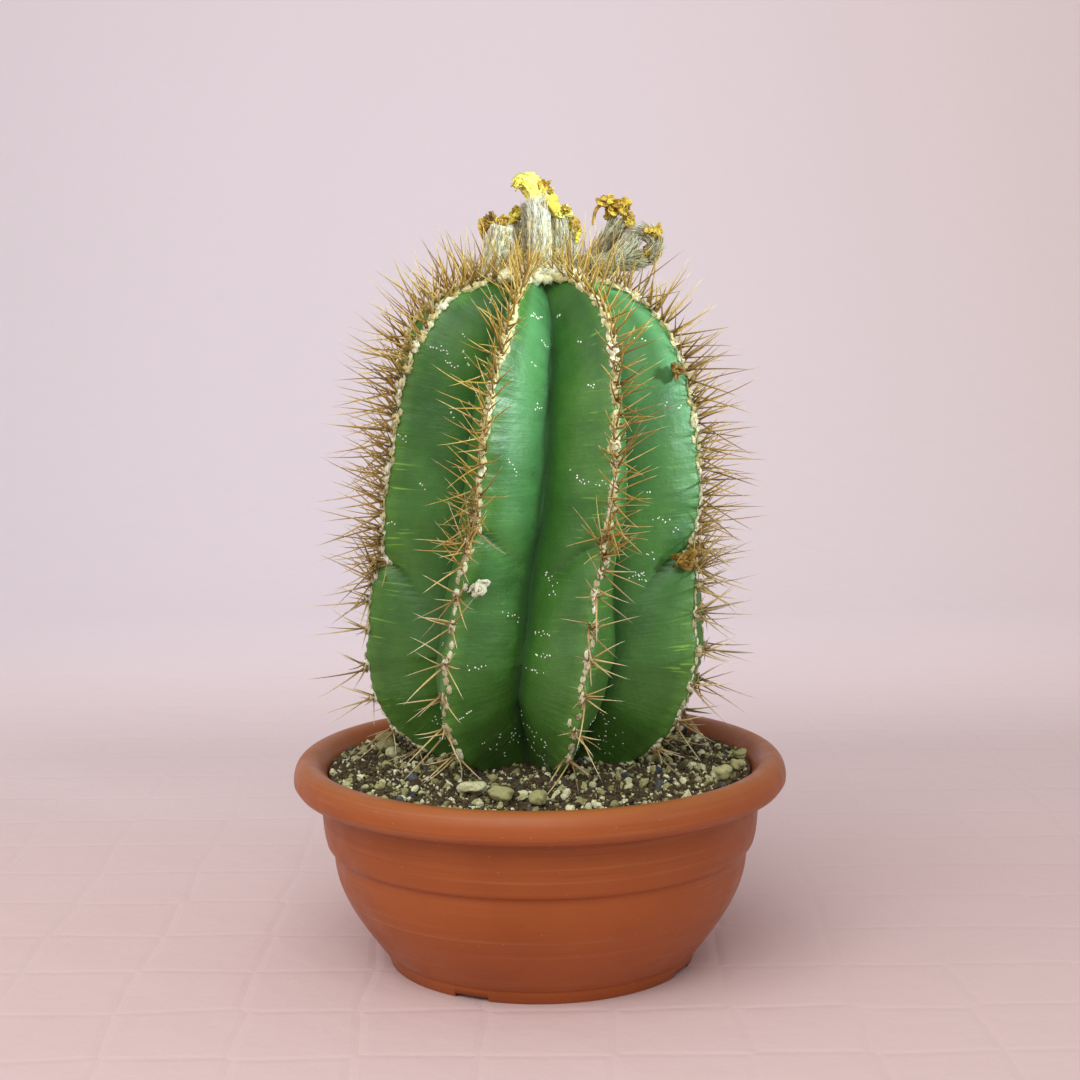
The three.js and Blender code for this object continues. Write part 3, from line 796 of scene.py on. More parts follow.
def lumps(rng, level, centres, sizes, axes, dents=0.12, waves=2.6):
    """Many dented balls. sizes are three radii each, and axes three unit directions each, as rows."""
    shape, faces = ball(level)
    count = len(centres)
    knocks = rng.normal(size=(count, 6, 3)) * waves
    phase = rng.uniform(0, 2 * np.pi, (count, 6, 1))
    swell = 1 + dents * np.sin(np.einsum("kij,nj->kin", knocks, shape) + phase).sum(1) / 2.4
    local = shape[None] * swell[..., None] * sizes[:, None, :]
    points = np.einsum("knj,kjc->knc", local, axes) + centres[:, None, :]
    joined = faces[None] + (np.arange(count) * len(shape))[:, None, None]
    return points.reshape(-1, 3), joined.reshape(-1, 3).tolist()


def per_lump(level, values):
    """One number for each lump, repeated for each of its points."""
    return np.repeat(values, len(ball(level)[0]))


# %% Needles
def needles(bases, directions, lengths, radii, bends, sides=5, rings=4, blunt=0.0):
    """Many tapered needles. bends are sideways shifts of the middle. Also gives each point's place along."""
    count = len(bases)
    helper = np.where(np.abs(directions[:, 2:3]) < 0.9, [[0, 0, 1.0]], [[1.0, 0, 0]])
    u = unit(np.cross(directions, helper))
    v = np.cross(directions, u)
    s = np.linspace(0, 1, rings + 1)[:-1]
    a = np.linspace(0, 2 * np.pi, sides, endpoint=False)
    spine_line = bases[:, None] + directions[:, None] * (lengths[:, None] * s)[..., None]
    spine_line = spine_line + bends[:, None] * (4 * s * (1 - s))[None, :, None]
    taper = (1 - s) ** 0.75 * (1 - blunt) + blunt
    ring = u[:, None] * np.cos(a)[:, None] + v[:, None] * np.sin(a)[:, None]
    around = ring[:, None] * (radii[:, None] * taper)[..., None, None]
    body = spine_line[:, :, None] + around
    tips = bases + directions * lengths[:, None]
    points = np.concatenate([body.reshape(count, -1, 3), tips[:, None]], axis=1)
    per = rings * sides + 1
    faces = np.array(grid_faces(rings, sides))
    last = (rings - 1) * sides
    tip_faces = np.array([(last + c, last + (c + 1) % sides, per - 1) for c in range(sides)])
    shift = np.arange(count) * per
    quads = (faces[None] + shift[:, None, None]).reshape(-1, 4).tolist()
    caps = (tip_faces[None] + shift[:, None, None]).reshape(-1, 3).tolist()
    foot = (np.arange(sides)[::-1][None] + shift[:, None]).tolist()
    along = np.tile(np.append(np.repeat(s, sides), 1.0), count)
    return points.reshape(-1, 3), quads + caps + foot, along, per


# %% [markdown]
# ## Areoles
# A cactus makes felt and spines only in its areoles, small cushions that follow each other along every crest.
# On young growth they touch and make one cream band. Below the winter fold the rib has stretched, so they stand
# apart with thin broken felt between them. One function lists them, and felt and spines both read that list.

# %% Areole places
gap_heights = [0.10, 0.17, 0.19, 0.2, 0.215, 0.23, 0.33, 0.346]
areole_gaps = [19, 18, 13, 5.5, 5.2, 6.4, 6.0, 4.6]


def areole_shares(rib):
    """Places along the crest line, from the crown down to the soil, closer together on young growth."""
    places = []
    here = 1 - 9 * MM / crest_length
    rng = np.random.default_rng(100 + rib)
    end = np.interp(soil_high.z + 1 * MM, crest[: len(crest) // 2, 1], crest_share[: len(crest) // 2])
    while here > end:
        places.append(here)
        z = along_crest(here, crest[:, 1]) - fold_height[rib] + 205 * MM
        gap = np.interp(z, gap_heights, areole_gaps)
        here -= gap * MM / crest_length * rng.uniform(0.9, 1.1)
    return np.array(places)


areoles = [areole_shares(rib) for rib in range(rib_count)]
print("areoles on each rib:", [len(places) for places in areoles])


# %% Felt finish
def felt_finish():
    finish = Finish("areole_felt", Roughness=0.95)
    finish.shader.inputs["Sheen Weight"].default_value = 0.4
    age, tone = finish.mark("age"), finish.mark("tone")
    fresh = finish.ramp(tone, (0.0, (0.48, 0.39, 0.14)), (0.5, (0.68, 0.61, 0.30)), (1.0, (0.88, 0.86, 0.66)))
    grey = finish.ramp(tone, (0.0, (0.38, 0.31, 0.14)), (0.5, (0.62, 0.57, 0.34)), (1.0, (0.88, 0.86, 0.74)))
    felt = finish.blend(finish.ramp(age, (0.2, 0.0), (0.6, 1.0)), fresh, grey)
    stain = finish.noise(380.0, 4)
    felt = finish.blend(finish.ramp(stain, (0.30, 0.75), (0.45, 0.0)), felt, (0.15, 0.08, 0.03))
    finish.colour(felt)
    finish.relief((finish.noise(1500.0, 3), 0.0004))
    return finish.material


felt = felt_finish()


# %% Build the felt rows
def felt_row(rib):
    """Cushions at the areoles, thin felt between them, and a fuzz of short hairs on all of it."""
    rng = np.random.default_rng(200 + rib)
    places = areoles[rib]
    z = along_crest(places, crest[:, 1])
    links = np.where(z < fold_height[rib] - 13 * MM, 5, 3)
    between = np.concatenate([np.linspace(a, b, n)[1:-1] for a, b, n in zip(places[:-1], places[1:], links)])
    between = between[rng.random(len(between)) < 0.85]
    shares = np.concatenate([places, between])
    is_link = np.arange(len(shares)) >= len(places)
    side = rng.normal(0, np.where(is_link, 0.035, 0.016), len(shares))
    point, across, up, out = skin_frame(shares, rib, side)
    z_all = along_crest(shares, crest[:, 1])
    wide = np.where(is_link, 1.1, 0.9 * np.interp(z_all, [0.2, 0.33], [1.7, 2.9]))
    wide = wide * rng.uniform(0.85, 1.15, len(shares)) * MM
    tall = np.where(is_link, 2.0, 3.0) * rng.uniform(0.9, 1.1, len(shares)) * MM
    thick = np.where(is_link, 0.5, 1.5) * rng.uniform(0.8, 1.2, len(shares)) * MM
    axes = np.stack([across, up, out], axis=1)
    sizes = np.stack([wide, tall, thick], axis=1)
    points, faces = lumps(rng, 3, point + out * thick[:, None] * 0.35, sizes, axes, dents=0.26, waves=3.6)
    age_each = np.clip((top_z - z_all) / (top_z - low_z), 0, 1)
    tone_each = rng.uniform(0.0, 0.9, len(shares))
    age, tone = per_lump(3, age_each), per_lump(3, tone_each)
    hairs = 34
    who = np.repeat(np.arange(len(shares)), hairs)
    spot = unit(rng.normal(size=(len(who), 3)) + [0, 0, 0.8])
    spot[:, 2] = np.abs(spot[:, 2])
    root = point[who] + np.einsum("nj,njc->nc", spot * sizes[who], axes[who])
    aim = unit(np.einsum("nj,njc->nc", spot + rng.normal(0, 0.35, spot.shape), axes[who]))
    length = np.where(is_link[who], 0.8, 2.0) * MM * rng.uniform(0.5, 1.2, len(who))
    thin = np.full(len(who), 0.12 * MM)
    fuzz, fuzz_faces, _, per = needles(root, aim, length, thin, aim * 0, sides=3, rings=1)
    points, faces, _ = gather([(points, faces), (fuzz, fuzz_faces)])
    marks = {
        "age": np.concatenate([age, np.repeat(age_each[who], per)]),
        "tone": np.concatenate([tone, np.repeat(rng.uniform(0.4, 1.0, len(who)), per)]),
    }
    node = f"areole_row_{rib + 1}"
    return add_piece(f"felt_row_{rib + 1}", points, faces, felt, [node], marks=marks)


for rib in range(rib_count):
    felt_row(rib)


# %% [markdown]
# ### Spines
# Each areole sends out stiff, straight needles: some lean over the flanks and a few stand straight out. Young
# spines are honey-coloured with yellow tips. Old ones turn brown, then weather to straw with pale ends. The
# lowest can't pass through the soil, so they are turned up until their tips rest on it.

# %% Spine finish
def spine_finish():
    finish = Finish("spines", Roughness=0.45)
    age, tone, along = finish.mark("age"), finish.mark("tone"), finish.mark("along")
    young = finish.ramp(
        along,
        (0.0, (0.24, 0.12, 0.012)),
        (0.4, (0.43, 0.26, 0.03)),
        (0.72, (0.58, 0.39, 0.05)),
        (1.0, (0.90, 0.78, 0.28)),
    )
    grown = finish.ramp(
        along,
        (0.0, (0.26, 0.15, 0.035)),
        (0.35, (0.44, 0.28, 0.05)),
        (0.78, (0.42, 0.23, 0.035)),
        (1.0, (0.84, 0.74, 0.44)),
    )
    aged = finish.ramp(
        along,
        (0.0, (0.28, 0.17, 0.05)),
        (0.4, (0.56, 0.41, 0.16)),
        (0.75, (0.74, 0.64, 0.40)),
        (1.0, (0.90, 0.85, 0.70)),
    )
    colour = finish.blend(finish.ramp(age, (0.08, 0.0), (0.35, 1.0)), young, grown)
    colour = finish.blend(finish.ramp(age, (0.46, 0.0), (0.62, 1.0)), colour, aged)
    dark = finish.ramp(tone, (0.0, 0.75), (0.5, 0.0))
    colour = finish.blend(dark, colour, (0.11, 0.052, 0.014))
    pale = finish.ramp(tone, (0.72, 0.0), (1.0, 0.55))
    colour = finish.blend(pale, colour, (0.78, 0.58, 0.24))
    stain = finish.ramp(finish.noise(500.0, 3), (0.4, 0.25), (0.6, 0.0))
    colour = finish.blend(stain, colour, (0.2, 0.1, 0.04))
    finish.colour(colour)
    finish.relief((finish.noise(900.0, 2, finish.stretch((1, 1, 0.25))), 0.0001))
    return finish.material


spine_skin = spine_finish()


# %% Soil height
def soil_height(x, y):
    """The soil's surface: mounded to the plant, and uneven."""
    r = np.hypot(x, y)
    mound = soil_high.z - 0.5 * MM - 6 * MM * (r / soil_high.x) ** 2
    lumpy = 0.9 * np.sin(x * 310 + 1.3) * np.sin(y * 270 + 0.4) + 0.5 * np.sin(x * 690 + y * 540)
    return mound + lumpy * MM


# %% Build the spine rows
spine_leans = np.array([0, -42, 38, -22, 24, -8, 46, -50, 12, -16])
spine_climbs = np.array([4, 8, 10, 30, 28, -22, -20, -24, 44, 22])


def spine_row(rib):
    rng = np.random.default_rng(300 + rib)
    places = areoles[rib]
    z = along_crest(places, crest[:, 1])
    age_each = np.clip((top_z - z) / (top_z - low_z), 0, 1)
    over_fold = z - fold_height[rib]
    number = np.where(over_fold < -10 * MM, 7, np.where(over_fold < 10 * MM, 10, 6))
    who = np.repeat(np.arange(len(places)), number)
    turn = np.concatenate([np.arange(n) for n in number])
    count = len(who)
    point, across, up, out = (part[who] for part in skin_frame(places, rib, np.zeros(len(places))))
    old = age_each[who] > 0.56
    spread = np.where(old, 1.2, 1.0)
    lean = np.radians(spine_leans[turn] * spread + rng.normal(0, 10, count))
    climb = np.radians(spine_climbs[turn] * spread + np.where(old, -6, 6) + rng.normal(0, 9, count))
    aim = out * (np.cos(lean) * np.cos(climb))[:, None] + across * np.sin(lean)[:, None]
    aim = unit(aim + up * np.sin(climb)[:, None])
    central = (turn == 0) | (turn == 5)
    length = MM * np.where(central, rng.uniform(25, 39, count), rng.uniform(14, 28, count))
    length *= np.interp(z[who], [0.1, 0.15, 0.3, 0.346], [0.8, 0.95, 1.0, 0.95])
    base = point + out * 0.6 * MM + up * (rng.normal(0, 1.1, count) * MM)[:, None]
    base += across * (rng.normal(0, 0.9, count) * MM)[:, None]
    for _ in range(12):
        tip = base + aim * length[:, None]
        sunk = tip[:, 2] < soil_height(tip[:, 0], tip[:, 1]) + 1.0 * MM
        aim[sunk] = unit(aim[sunk] + [0, 0, 0.08])
    bend = (np.cross(aim, rng.normal(size=(count, 3))) * 0.02 + np.array([0, 0, -0.01])) * length[:, None]
    radius = MM * rng.uniform(0.42, 0.62, count)
    points, faces, along, per = needles(base, aim, length, radius, bend, sides=6, rings=5)
    marks = {
        "age": np.repeat(age_each[who] + rng.normal(0, 0.04, count), per),
        "tone": np.repeat(rng.random(count), per),
        "along": along,
    }
    return add_piece(f"spine_row_{rib + 1}", points, faces, spine_skin, marks=marks)


for rib in range(rib_count):
    spine_row(rib)

# %% [markdown]
# ## Soil
# A cactus mix is gritty: dark peat and bark with pale pumice and some black lava. The bed itself is a closed
# body that fills the pot, and thousands of grains lie half sunk in its top.

# %% Soil finishes
def peat_finish():
    finish = Finish("peat", Roughness=0.95)
    crumbs = finish.noise(520.0, 6, roughness=0.7)
    browns = (0.3, (0.020, 0.012, 0.005)), (0.5, (0.070, 0.045, 0.018)), (0.7, (0.17, 0.11, 0.045))
    finish.colour(finish.ramp(crumbs, *browns))
    finish.relief((crumbs, 0.0012), (finish.noise(1400.0, 4), 0.0005))
    return finish.material


def stone_finish(name, stops):
    finish = Finish(name, Roughness=0.9)
    tone = finish.mark("tone")
    colour = finish.ramp(tone, *stops)
    pits = finish.noise(900.0, 5, roughness=0.7)
    colour = finish.blend(finish.ramp(pits, (0.32, 0.6), (0.5, 0.0)), colour, (0.10, 0.075, 0.035))
    finish.colour(colour)
    finish.relief((pits, 0.0006))
    return finish.material


peat = peat_finish()
pale_stops = [(0.0, (0.24, 0.22, 0.08)), (0.5, (0.42, 0.40, 0.18)), (1.0, (0.80, 0.78, 0.52))]
black_stops = [(0.0, (0.012, 0.012, 0.014)), (0.6, (0.04, 0.045, 0.05)), (1.0, (0.10, 0.11, 0.12))]
pumice = stone_finish("pumice", pale_stops)
lava = stone_finish("lava", black_stops)


# %% Build the soil bed
def build_soil():
    columns, rings = 220, 70
    azimuth = np.linspace(0, 2 * np.pi, columns, endpoint=False)
    ring = np.stack([np.sin(azimuth), -np.cos(azimuth)], axis=1)
    edge = soil_high.x + 0.4 * MM
    levels = np.linspace(floor_high + 0.3 * MM, soil_high.z - 8 * MM, 14)
    inside = [
        min(edge, bowl_outside(min(z, bowl_top)) - wall - 0.4 * MM + max(0, z - bowl_top) * 0.4)
        for z in levels
    ]
    rows = [np.c_[r * ring, np.full(columns, z)] for r, z in zip(inside, levels)]
    for r in np.linspace(edge, 2 * MM, rings):
        flat = r * ring
        rows.append(np.c_[flat, soil_height(flat[:, 0], flat[:, 1])])
    grid = np.concatenate(rows)
    points = np.vstack([grid, [(0, 0, levels[0]), (0, 0, soil_high.z)]])
    return add_piece("soil_bed", points, capped_faces(len(rows), columns), peat, ["soil"])


build_soil()


# %% Scatter grains
def bare_soil(rng, count, inner, outer):
    """Random places on the soil, in a ring between two radii."""
    r = np.sqrt(rng.uniform(inner**2, outer**2, count))
    a = rng.uniform(0, 2 * np.pi, count)
    return r * np.sin(a), -r * np.cos(a)


def grains(name, finish, seed, count, small, large, level, flat=0.75, stands_for=()):
    rng = np.random.default_rng(seed)
    size = MM * (small + (large - small) * rng.random(count) ** 2.2) / 2
    x, y = bare_soil(rng, count, 26 * MM, soil_high.x - 1.0 * MM)
    sizes = size[:, None] * rng.uniform([0.8, 0.7, flat - 0.15], [1.25, 1.0, flat + 0.15], (count, 3))
    centres = np.stack([x, y, soil_height(x, y) + size * 0.25], axis=1)
    points, faces = lumps(rng, level, centres, sizes, random_turns(rng, count), dents=0.3, waves=2.2)
    marks = {"tone": per_lump(level, rng.random(count))}
    return add_piece(name, points, faces, finish, stands_for, smooth=False, marks=marks)


grains("pumice_grains", pumice, 41, 950, 1.6, 5.6, 2)
grains("pumice_grit", pumice, 42, 4200, 0.8, 2.6, 1)
grains("lava_grains", lava, 43, 300, 1.5, 5.0, 2)
grains("peat_crumbs", peat, 44, 5200, 0.9, 4.6, 1)


# %% Large stones
def large_stone(number):
    """One of the loose stones, in the place of its CAD solid."""
    low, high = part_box(f"pumice_{number}")
    rng = np.random.default_rng(500 + number)
    centre = np.array([(low + high) / 2])
    size = np.array([(high - low) / 2]) * 1.05
    points, faces = lumps(rng, 4, centre, size, np.eye(3)[None], dents=0.2, waves=2.8)
    marks = {"tone": np.full(len(points), rng.uniform(0.2, 0.75))}
    node = f"pumice_{number}"
    return add_piece(f"loose_stone_{number}", points, faces, pumice, [node], marks=marks)


for number in range(1, 13):
    large_stone(number)

# %% [markdown]
# ## Crown
# The growing point is a pad of wool with bristling young spines. Old flowers have dried on it: each is a tube
# covered in grey-white hair, with a tuft of shrivelled petals at its mouth.

# %% Crown wool
crown = np.array([0, stem_back, top_z])


def build_wool():
    rng = np.random.default_rng(61)
    count = 130
    r = 25 * MM * np.sqrt(rng.random(count))
    a = rng.uniform(0, 2 * np.pi, count)
    rise = 5.5 * MM * (1 - (r / (27 * MM)) ** 2)
    centres = crown + np.stack([r * np.sin(a), -r * np.cos(a), rise - 1.0 * MM], axis=1)
    sizes = MM * rng.uniform([2.0, 2.0, 1.8], [4.2, 4.2, 3.6], (count, 3))
    points, faces = lumps(rng, 3, centres, sizes, random_turns(rng, count), dents=0.2, waves=3.0)
    tone = per_lump(3, rng.uniform(0.4, 1.0, count))
    hairs = 5200
    who = rng.integers(0, count, hairs)
    spot = unit(rng.normal(size=(hairs, 3)) + [0, 0, 0.5])
    root = centres[who] + spot * sizes[who] * 0.9
    aim = unit(spot + rng.normal(0, 0.4, (hairs, 3)) + [0, 0, 0.5])
    length = MM * rng.uniform(1.5, 4.5, hairs)
    thin = np.full(hairs, 0.1 * MM)
    fuzz, fuzz_faces, _, per = needles(root, aim, length, thin, aim * 0, sides=3, rings=1)
    points, faces, _ = gather([(points, faces), (fuzz, fuzz_faces)])
    pale = rng.uniform(0.6, 1.0, hairs).repeat(per)
    marks = {"age": np.zeros(len(points)), "tone": np.append(tone, pale)}
    return add_piece("crown_felt", points, faces, felt, ["crown_wool"], marks=marks)


build_wool()


# %% Sweeps
def sweep(path, widths, depths, sides, turn=0.0, folds=0.0, fold_count=5):
    """A closed tube along a path with an oval section that may turn, taper and wrinkle lengthwise."""
    path = np.asarray(path, float)
    heading = unit(np.gradient(path, axis=0))
    side = np.cross(heading, [0.12, -0.9, 0.3])
    u = unit(side)
    v = np.cross(heading, u)
    a = np.linspace(0, 2 * np.pi, sides, endpoint=False)
    spin = np.linspace(0, turn, len(path))[:, None]
    wrinkle = 1 + folds * np.sin(fold_count * a[None] + 0.8 * np.sin(5 * spin + 3))
    x = np.cos(a)[None] * widths[:, None] * wrinkle
    y = np.sin(a)[None] * depths[:, None] * wrinkle
    xs, ys = x * np.cos(spin) - y * np.sin(spin), x * np.sin(spin) + y * np.cos(spin)
    grid = path[:, None] + u[:, None] * xs[..., None] + v[:, None] * ys[..., None]
    points = np.vstack([grid.reshape(-1, 3), path[:1], path[-1:]])
    return points, capped_faces(len(path), sides)


# %% Flower finishes
def dried_tube_finish():
    finish = Finish("dried_flower_tube", Roughness=0.95)
    tone = finish.mark("tone")
    colour = finish.ramp(tone, (0.0, (0.15, 0.13, 0.07)), (0.5, (0.52, 0.48, 0.32)), (1.0, (0.84, 0.84, 0.72)))
    fibre = finish.noise(1.0, 5, finish.stretch((600, 600, 90)))
    colour = finish.blend(finish.ramp(fibre, (0.32, 0.6), (0.5, 0.0)), colour, (0.16, 0.13, 0.06))
    warm = finish.noise(120.0, 3)
    colour = finish.blend(finish.ramp(warm, (0.5, 0.0), (0.68, 0.5)), colour, (0.62, 0.47, 0.2))
    finish.colour(colour)
    finish.relief((fibre, 0.0008))
    return finish.material


def dried_petal_finish():
    finish = Finish("dried_petals", Roughness=0.7)
    tone = finish.mark("tone")
    patch = finish.noise(330.0, 4)
    yellows = (0.45, (0.50, 0.30, 0.03)), (0.75, (0.72, 0.58, 0.06)), (1.0, (0.86, 0.82, 0.16))
    colour = finish.ramp(tone, (0.0, (0.20, 0.11, 0.02)), *yellows)
    colour = finish.blend(finish.ramp(patch, (0.34, 0.7), (0.48, 0.0)), colour, (0.24, 0.13, 0.015))
    finish.colour(colour)
    finish.relief((finish.noise(700.0, 4), 0.0005))
    return finish.material


dried_tube, dried_petal = dried_tube_finish(), dried_petal_finish()


# %% [markdown]
# Each flower is told in millimetres from the crown: across, back and up. A tube is the points it passes
# through, its foot and mouth radii, a paleness and how long its hairs are. A strap is a long petal that bends
# through points, with a width and a yellowness. A knot is a crumpled heap with a middle, a reach each way, a
# yellowness and a number of blades.

# %% Flower list
flowers = [
    {
        "tubes": [([(-20, -4, 2), (-19, -5, 14), (-16, -6, 26)], 5.0, 5.6, 0.72, 3.5)],
        "straps": [([(-22, -5, 22), (-24, -6, 27), (-26, -6, 25), (-25, -6, 19)], 1.5, 0.35)],
        "knots": [((-22, -6, 28), (3.4, 3.0, 3.0), 0.28, 12), ((-16, -6, 28), (4.5, 3, 1.6), 0.4, 7)],
    },
    {
        "tubes": [([(-7, 13, 4), (-8, 13, 17), (-9, 12, 28)], 2.6, 1.8, 0.5, 3)],
        "straps": [([(-13, 9, 27), (-11, 9, 29), (-8, 9, 31), (-5, 9, 33)], 1.6, 0.75)],
        "knots": [((-8, 10, 32), (3.0, 2.6, 2.6), 0.6, 10)],
    },
    {
        "tubes": [
            ([(3, 0, 2), (2.5, 0, 22), (1.5, -1, 40)], 5.8, 5.0, 0.95, 5),
            ([(-4, 1, 4), (-4.6, 1, 22), (-4.4, 1, 37)], 2.0, 1.4, 0.35, 3),
        ],
        "straps": [
            ([(2, -3, 35), (1, -4, 42), (-2, -4, 47), (-6, -4, 49), (-10, -4, 47)], 3.0, 1.0),
            ([(1, -3, 36), (-1, -4, 41), (-4, -5, 45), (-8, -5, 46), (-9, -5, 43)], 2.6, 0.92),
            ([(3, -2, 38), (2, -2, 44), (-1, -2, 49), (-5, -2, 50)], 2.6, 1.0),
            ([(6, -1, 38), (5, -1, 43), (4, -1, 46), (7, -1, 46)], 2.4, 0.5),
            ([(5, -2, 44), (8, -2, 40), (10, -2, 36), (11, -2, 32)], 2.2, 0.7),
        ],
        "knots": [((5, -1, 44), (3, 2.4, 3), 0.45, 8), ((-6, -4, 46), (3.4, 2, 2.2), 0.95, 6)],
    },
    {
        "tubes": [([(12.5, 4, 2), (13, 4, 16), (12, 5, 30)], 4.4, 3.9, 0.55, 4)],
        "straps": [([(10, 2, 30), (12, 1, 33), (15, 1, 34), (17, 1, 35)], 1.8, 0.95)],
        "knots": [((12, 3, 32), (5.2, 3.4, 2.8), 0.95, 16), ((15, 2, 33), (2.5, 2.5, 2.2), 0.75, 6)],
    },
    {
        "tubes": [([(19, 13, 2), (30, 16, 9), (37, 18, 18), (44, 18, 28)], 3.8, 4.4, 0.45, 5)],
        "straps": [
            ([(38, 16, 34), (34, 15, 36), (31, 15, 33), (29.5, 15, 26)], 0.7, 0.3),
            ([(46, 16, 30), (48, 16, 26), (47, 16, 22)], 1.6, 0.6),
        ],
        "knots": [((40, 16, 35), (6.6, 4.2, 4.4), 0.4, 26), ((46, 16, 30), (3.0, 3, 4.4), 0.5, 10)],
    },
    {
        "tubes": [
            (
                [(22, 3, 3), (36, 5, 7), (49, 6, 8), (57, 6, 10), (60.5, 6, 16), (56, 6, 21.5), (48, 6, 21)],
                4.8, 3.2, 0.4, 5,
            ),
            ([(30, 4, 2), (42, 5, 10), (50, 6, 19)], 4.6, 3.6, 0.6, 5),
        ],
        "straps": [([(58, 5, 20), (61, 5, 21), (62, 5, 24), (63, 5, 27)], 1.6, 0.5)],
        "knots": [((58, 5, 21.5), (4.6, 3.2, 2.4), 0.55, 12), ((60, 5, 14), (3.2, 3.6, 5.4), 0.2, 14)],
    },
    {
        "tubes": [([(20, 8, 4), (20.6, 8, 14), (20.4, 8, 22)], 1.4, 1.1, 0.8, 3)],
        "straps": [([(20, 7, 20), (22, 6, 22), (21, 6, 17)], 1.0, 0.8)],
        "knots": [((20, 7, 26), (2.6, 2.4, 4.2), 0.55, 12)],
    },
]


# %% Flower parts
def hairy_tube(rng, knots, foot, mouth, pale, hair):
    """A wrinkled tube with hairs that lie along it, and the paleness of each of its points."""
    rings = 26
    path = smooth_line(crown + MM * np.array(knots, float), rings)
    width = MM * np.linspace(foot, mouth, rings) * (1 + 0.06 * np.sin(np.arange(rings) * 1.3))
    width[-1] *= 0.8
    body, faces = sweep(path, width, width * 0.85, 36, turn=0.6, folds=0.16, fold_count=7)
    reach = np.linalg.norm(np.diff(path, axis=0), axis=1).sum() / MM
    hairs = int(reach * foot * 7)
    row = rng.integers(0, rings - 2, hairs)
    a = rng.uniform(0, 2 * np.pi, hairs)
    heading = unit(np.gradient(path, axis=0))[row]
    u = unit(np.cross(heading, [0.12, -0.9, 0.3]))
    v = np.cross(heading, u)
    out = u * np.cos(a)[:, None] + v * np.sin(a)[:, None]
    root = path[row] + out * (width[row] * 0.9)[:, None]
    aim = unit(heading + out * rng.uniform(-0.02, 0.28, (hairs, 1)) + rng.normal(0, 0.09, (hairs, 3)))
    length = MM * rng.uniform(0.6, 1.5, hairs) * hair
    bend = out * (length * rng.uniform(-0.04, 0.12, hairs))[:, None]
    thin = MM * rng.uniform(0.13, 0.3, hairs)
    fuzz, fuzz_faces, _, per = needles(root, aim, length, thin, bend, sides=3, rings=3)
    points, faces, _ = gather([(body, faces), (fuzz, fuzz_faces)])
    shade = np.clip(rng.normal(pale, 0.22, hairs), 0, 1)
    return points, faces, np.concatenate([np.full(len(body), pale * 0.8), np.repeat(shade, per)])


def strap(rng, knots, width, yellow):
    """A long dried petal: a thin blade that is pinched at both ends and creased along its length."""
    line = smooth_line(crown + MM * np.array(knots, float), 22)
    line = line + rng.normal(0, 0.12 * MM, line.shape)
    wide = MM * width * (0.25 + np.sin(np.linspace(0.25, 2.95, 22)) ** 0.6) * rng.uniform(0.85, 1.1, 22)
    turn = rng.uniform(-1.5, 1.5)
    body, faces = sweep(line, wide, np.full(22, 0.35 * MM), 16, turn=turn, folds=0.3, fold_count=4)
    return body, faces, np.clip(yellow + rng.normal(0, 0.05, len(body)), 0, 1)


def knot(rng, middle, reach, yellow, blades):
    """A heap of short curled blades round a middle."""
    parts = []
    for _ in range(blades):
        start = rng.normal(0, 0.45, 3) * reach
        knots = [start]
        heading = unit(rng.normal(size=3) * reach)
        for _ in range(3):
            heading = unit(heading + rng.normal(0, 0.7, 3))
            knots.append(knots[-1] + heading * np.array(reach) * rng.uniform(0.35, 0.6))
        knots = np.clip(np.array(knots), -np.array(reach) * 1.15, np.array(reach) * 1.15) + middle
        parts.append(strap(rng, knots, rng.uniform(1.0, 1.7), np.clip(yellow + rng.normal(0, 0.14), 0, 1)))
    return parts


def merge_parts(name, parts, finish, node):
    points, faces, _ = gather([part[:2] for part in parts])
    marks = {"tone": np.concatenate([part[2] for part in parts])}
    return add_piece(name, points, faces, finish, [node], marks=marks)


def build_flower(number, flower):
    rng = np.random.default_rng(700 + number)
    tubes = [hairy_tube(rng, *tube) for tube in flower["tubes"]]
    merge_parts(f"dried_flower_{number}_tube", tubes, dried_tube, f"flower_{number}_tube")
    petals = [strap(rng, *blade) for blade in flower["straps"]]
    for middle, reach, yellow, blades in flower["knots"]:
        petals += knot(rng, np.array(middle, float), reach, yellow, blades)
    merge_parts(f"dried_flower_{number}_petals", petals, dried_petal, f"flower_{number}_petals")


for number, flower in enumerate(flowers, 1):
    build_flower(number, flower)

# %% [markdown]
# ## Last marks of age
# White flecks sit on the flanks in short rows: tiny tufts of wool that the skin grows. A few dried scraps have
# caught in the spines.

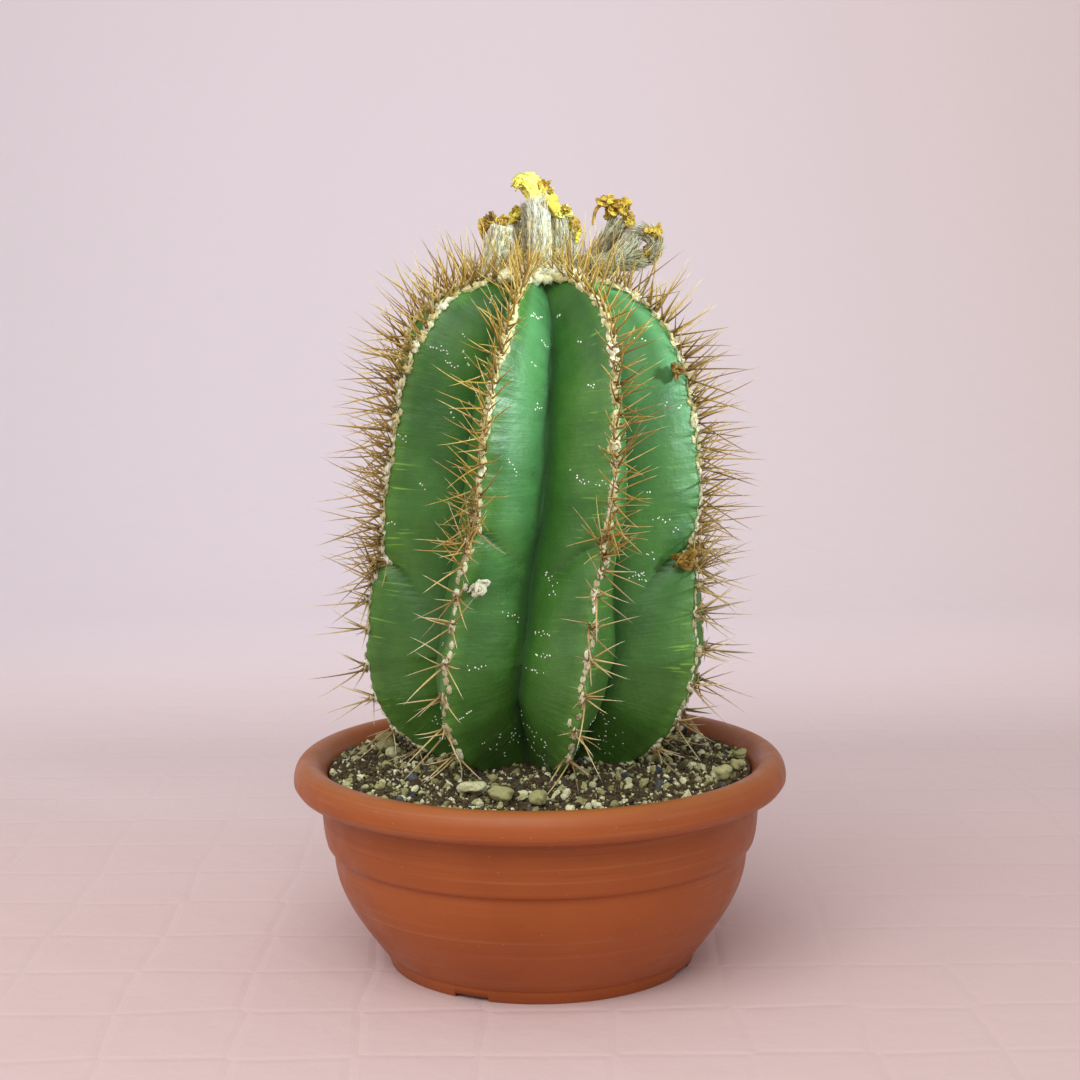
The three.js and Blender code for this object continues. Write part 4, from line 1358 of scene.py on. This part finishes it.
# %% White flecks
def build_flecks():
    rng = np.random.default_rng(91)
    spots = []
    for rib in range(rib_count):
        for _ in range(20):
            share, side = rng.uniform(0.2, 0.92), rng.choice([-1, 1]) * rng.uniform(0.08, 0.8)
            row = rng.integers(2, 9)
            drift = rng.normal(0, 0.3)
            for i in range(row):
                step = (i - row / 2) * 0.036 * rng.uniform(0.7, 1.3)
                up = share + drift * step * 0.15 + rng.normal(0, 0.0026)
                spots.append((up, rib, side + step * rng.uniform(0.6, 1.3)))
        for _ in range(46):
            spots.append((rng.uniform(0.145, 0.215), rib, rng.choice([-1, 1]) * rng.uniform(0.3, 0.95)))
    share, rib, side = np.array(spots).T
    side = np.clip(side, -0.97, 0.97)
    point, across, up, out = skin_frame(share, rib, side)
    count = len(spots)
    sizes = MM * rng.uniform([0.34, 0.34, 0.2], [0.62, 0.6, 0.34], (count, 3))
    points, faces = lumps(rng, 1, point, sizes, np.stack([across, up, out], axis=1), dents=0.25)
    marks = {"age": np.zeros(len(points)), "tone": np.ones(len(points))}
    return add_piece("white_flecks", points, faces, flecks, marks=marks)


def fleck_finish():
    finish = Finish("white_flecks", Roughness=0.9)
    finish.colour(finish.ramp(finish.noise(600.0, 3), (0.3, (0.62, 0.62, 0.5)), (0.6, (0.88, 0.9, 0.82))))
    finish.relief((finish.noise(2000.0, 3), 0.0002))
    return finish.material


flecks = fleck_finish()
build_flecks()


# %% Dried scraps
def scrap(node, name, finish, tone, curls):
    """A crumpled scrap: a few curled blades round the middle of its CAD solid."""
    low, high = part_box(node)
    centre, reach = np.array((low + high) / 2), max(high - low) / 2
    rng = np.random.default_rng(900 + curls)
    parts = []
    for _ in range(curls):
        line = smooth_line(centre + rng.normal(0, 0.45 * reach, (4, 3)), 14)
        width = MM * 1.5 * np.sin(np.linspace(0.3, 2.9, 14))
        parts.append(sweep(line, width, width * 0.4, 10, turn=rng.uniform(-3, 3), folds=0.2, fold_count=3))
    points, faces, _ = gather(parts)
    marks = {"tone": np.full(len(points), tone)}
    return add_piece(name, points, faces, finish, [node], marks=marks)


scrap("dried_bud", "caught_bud", dried_petal, 0.02, 9)
scrap("dried_curl", "caught_curl", dried_tube, 0.7, 5)
scrap("dried_clump", "caught_clump", dried_petal, 0.12, 12)
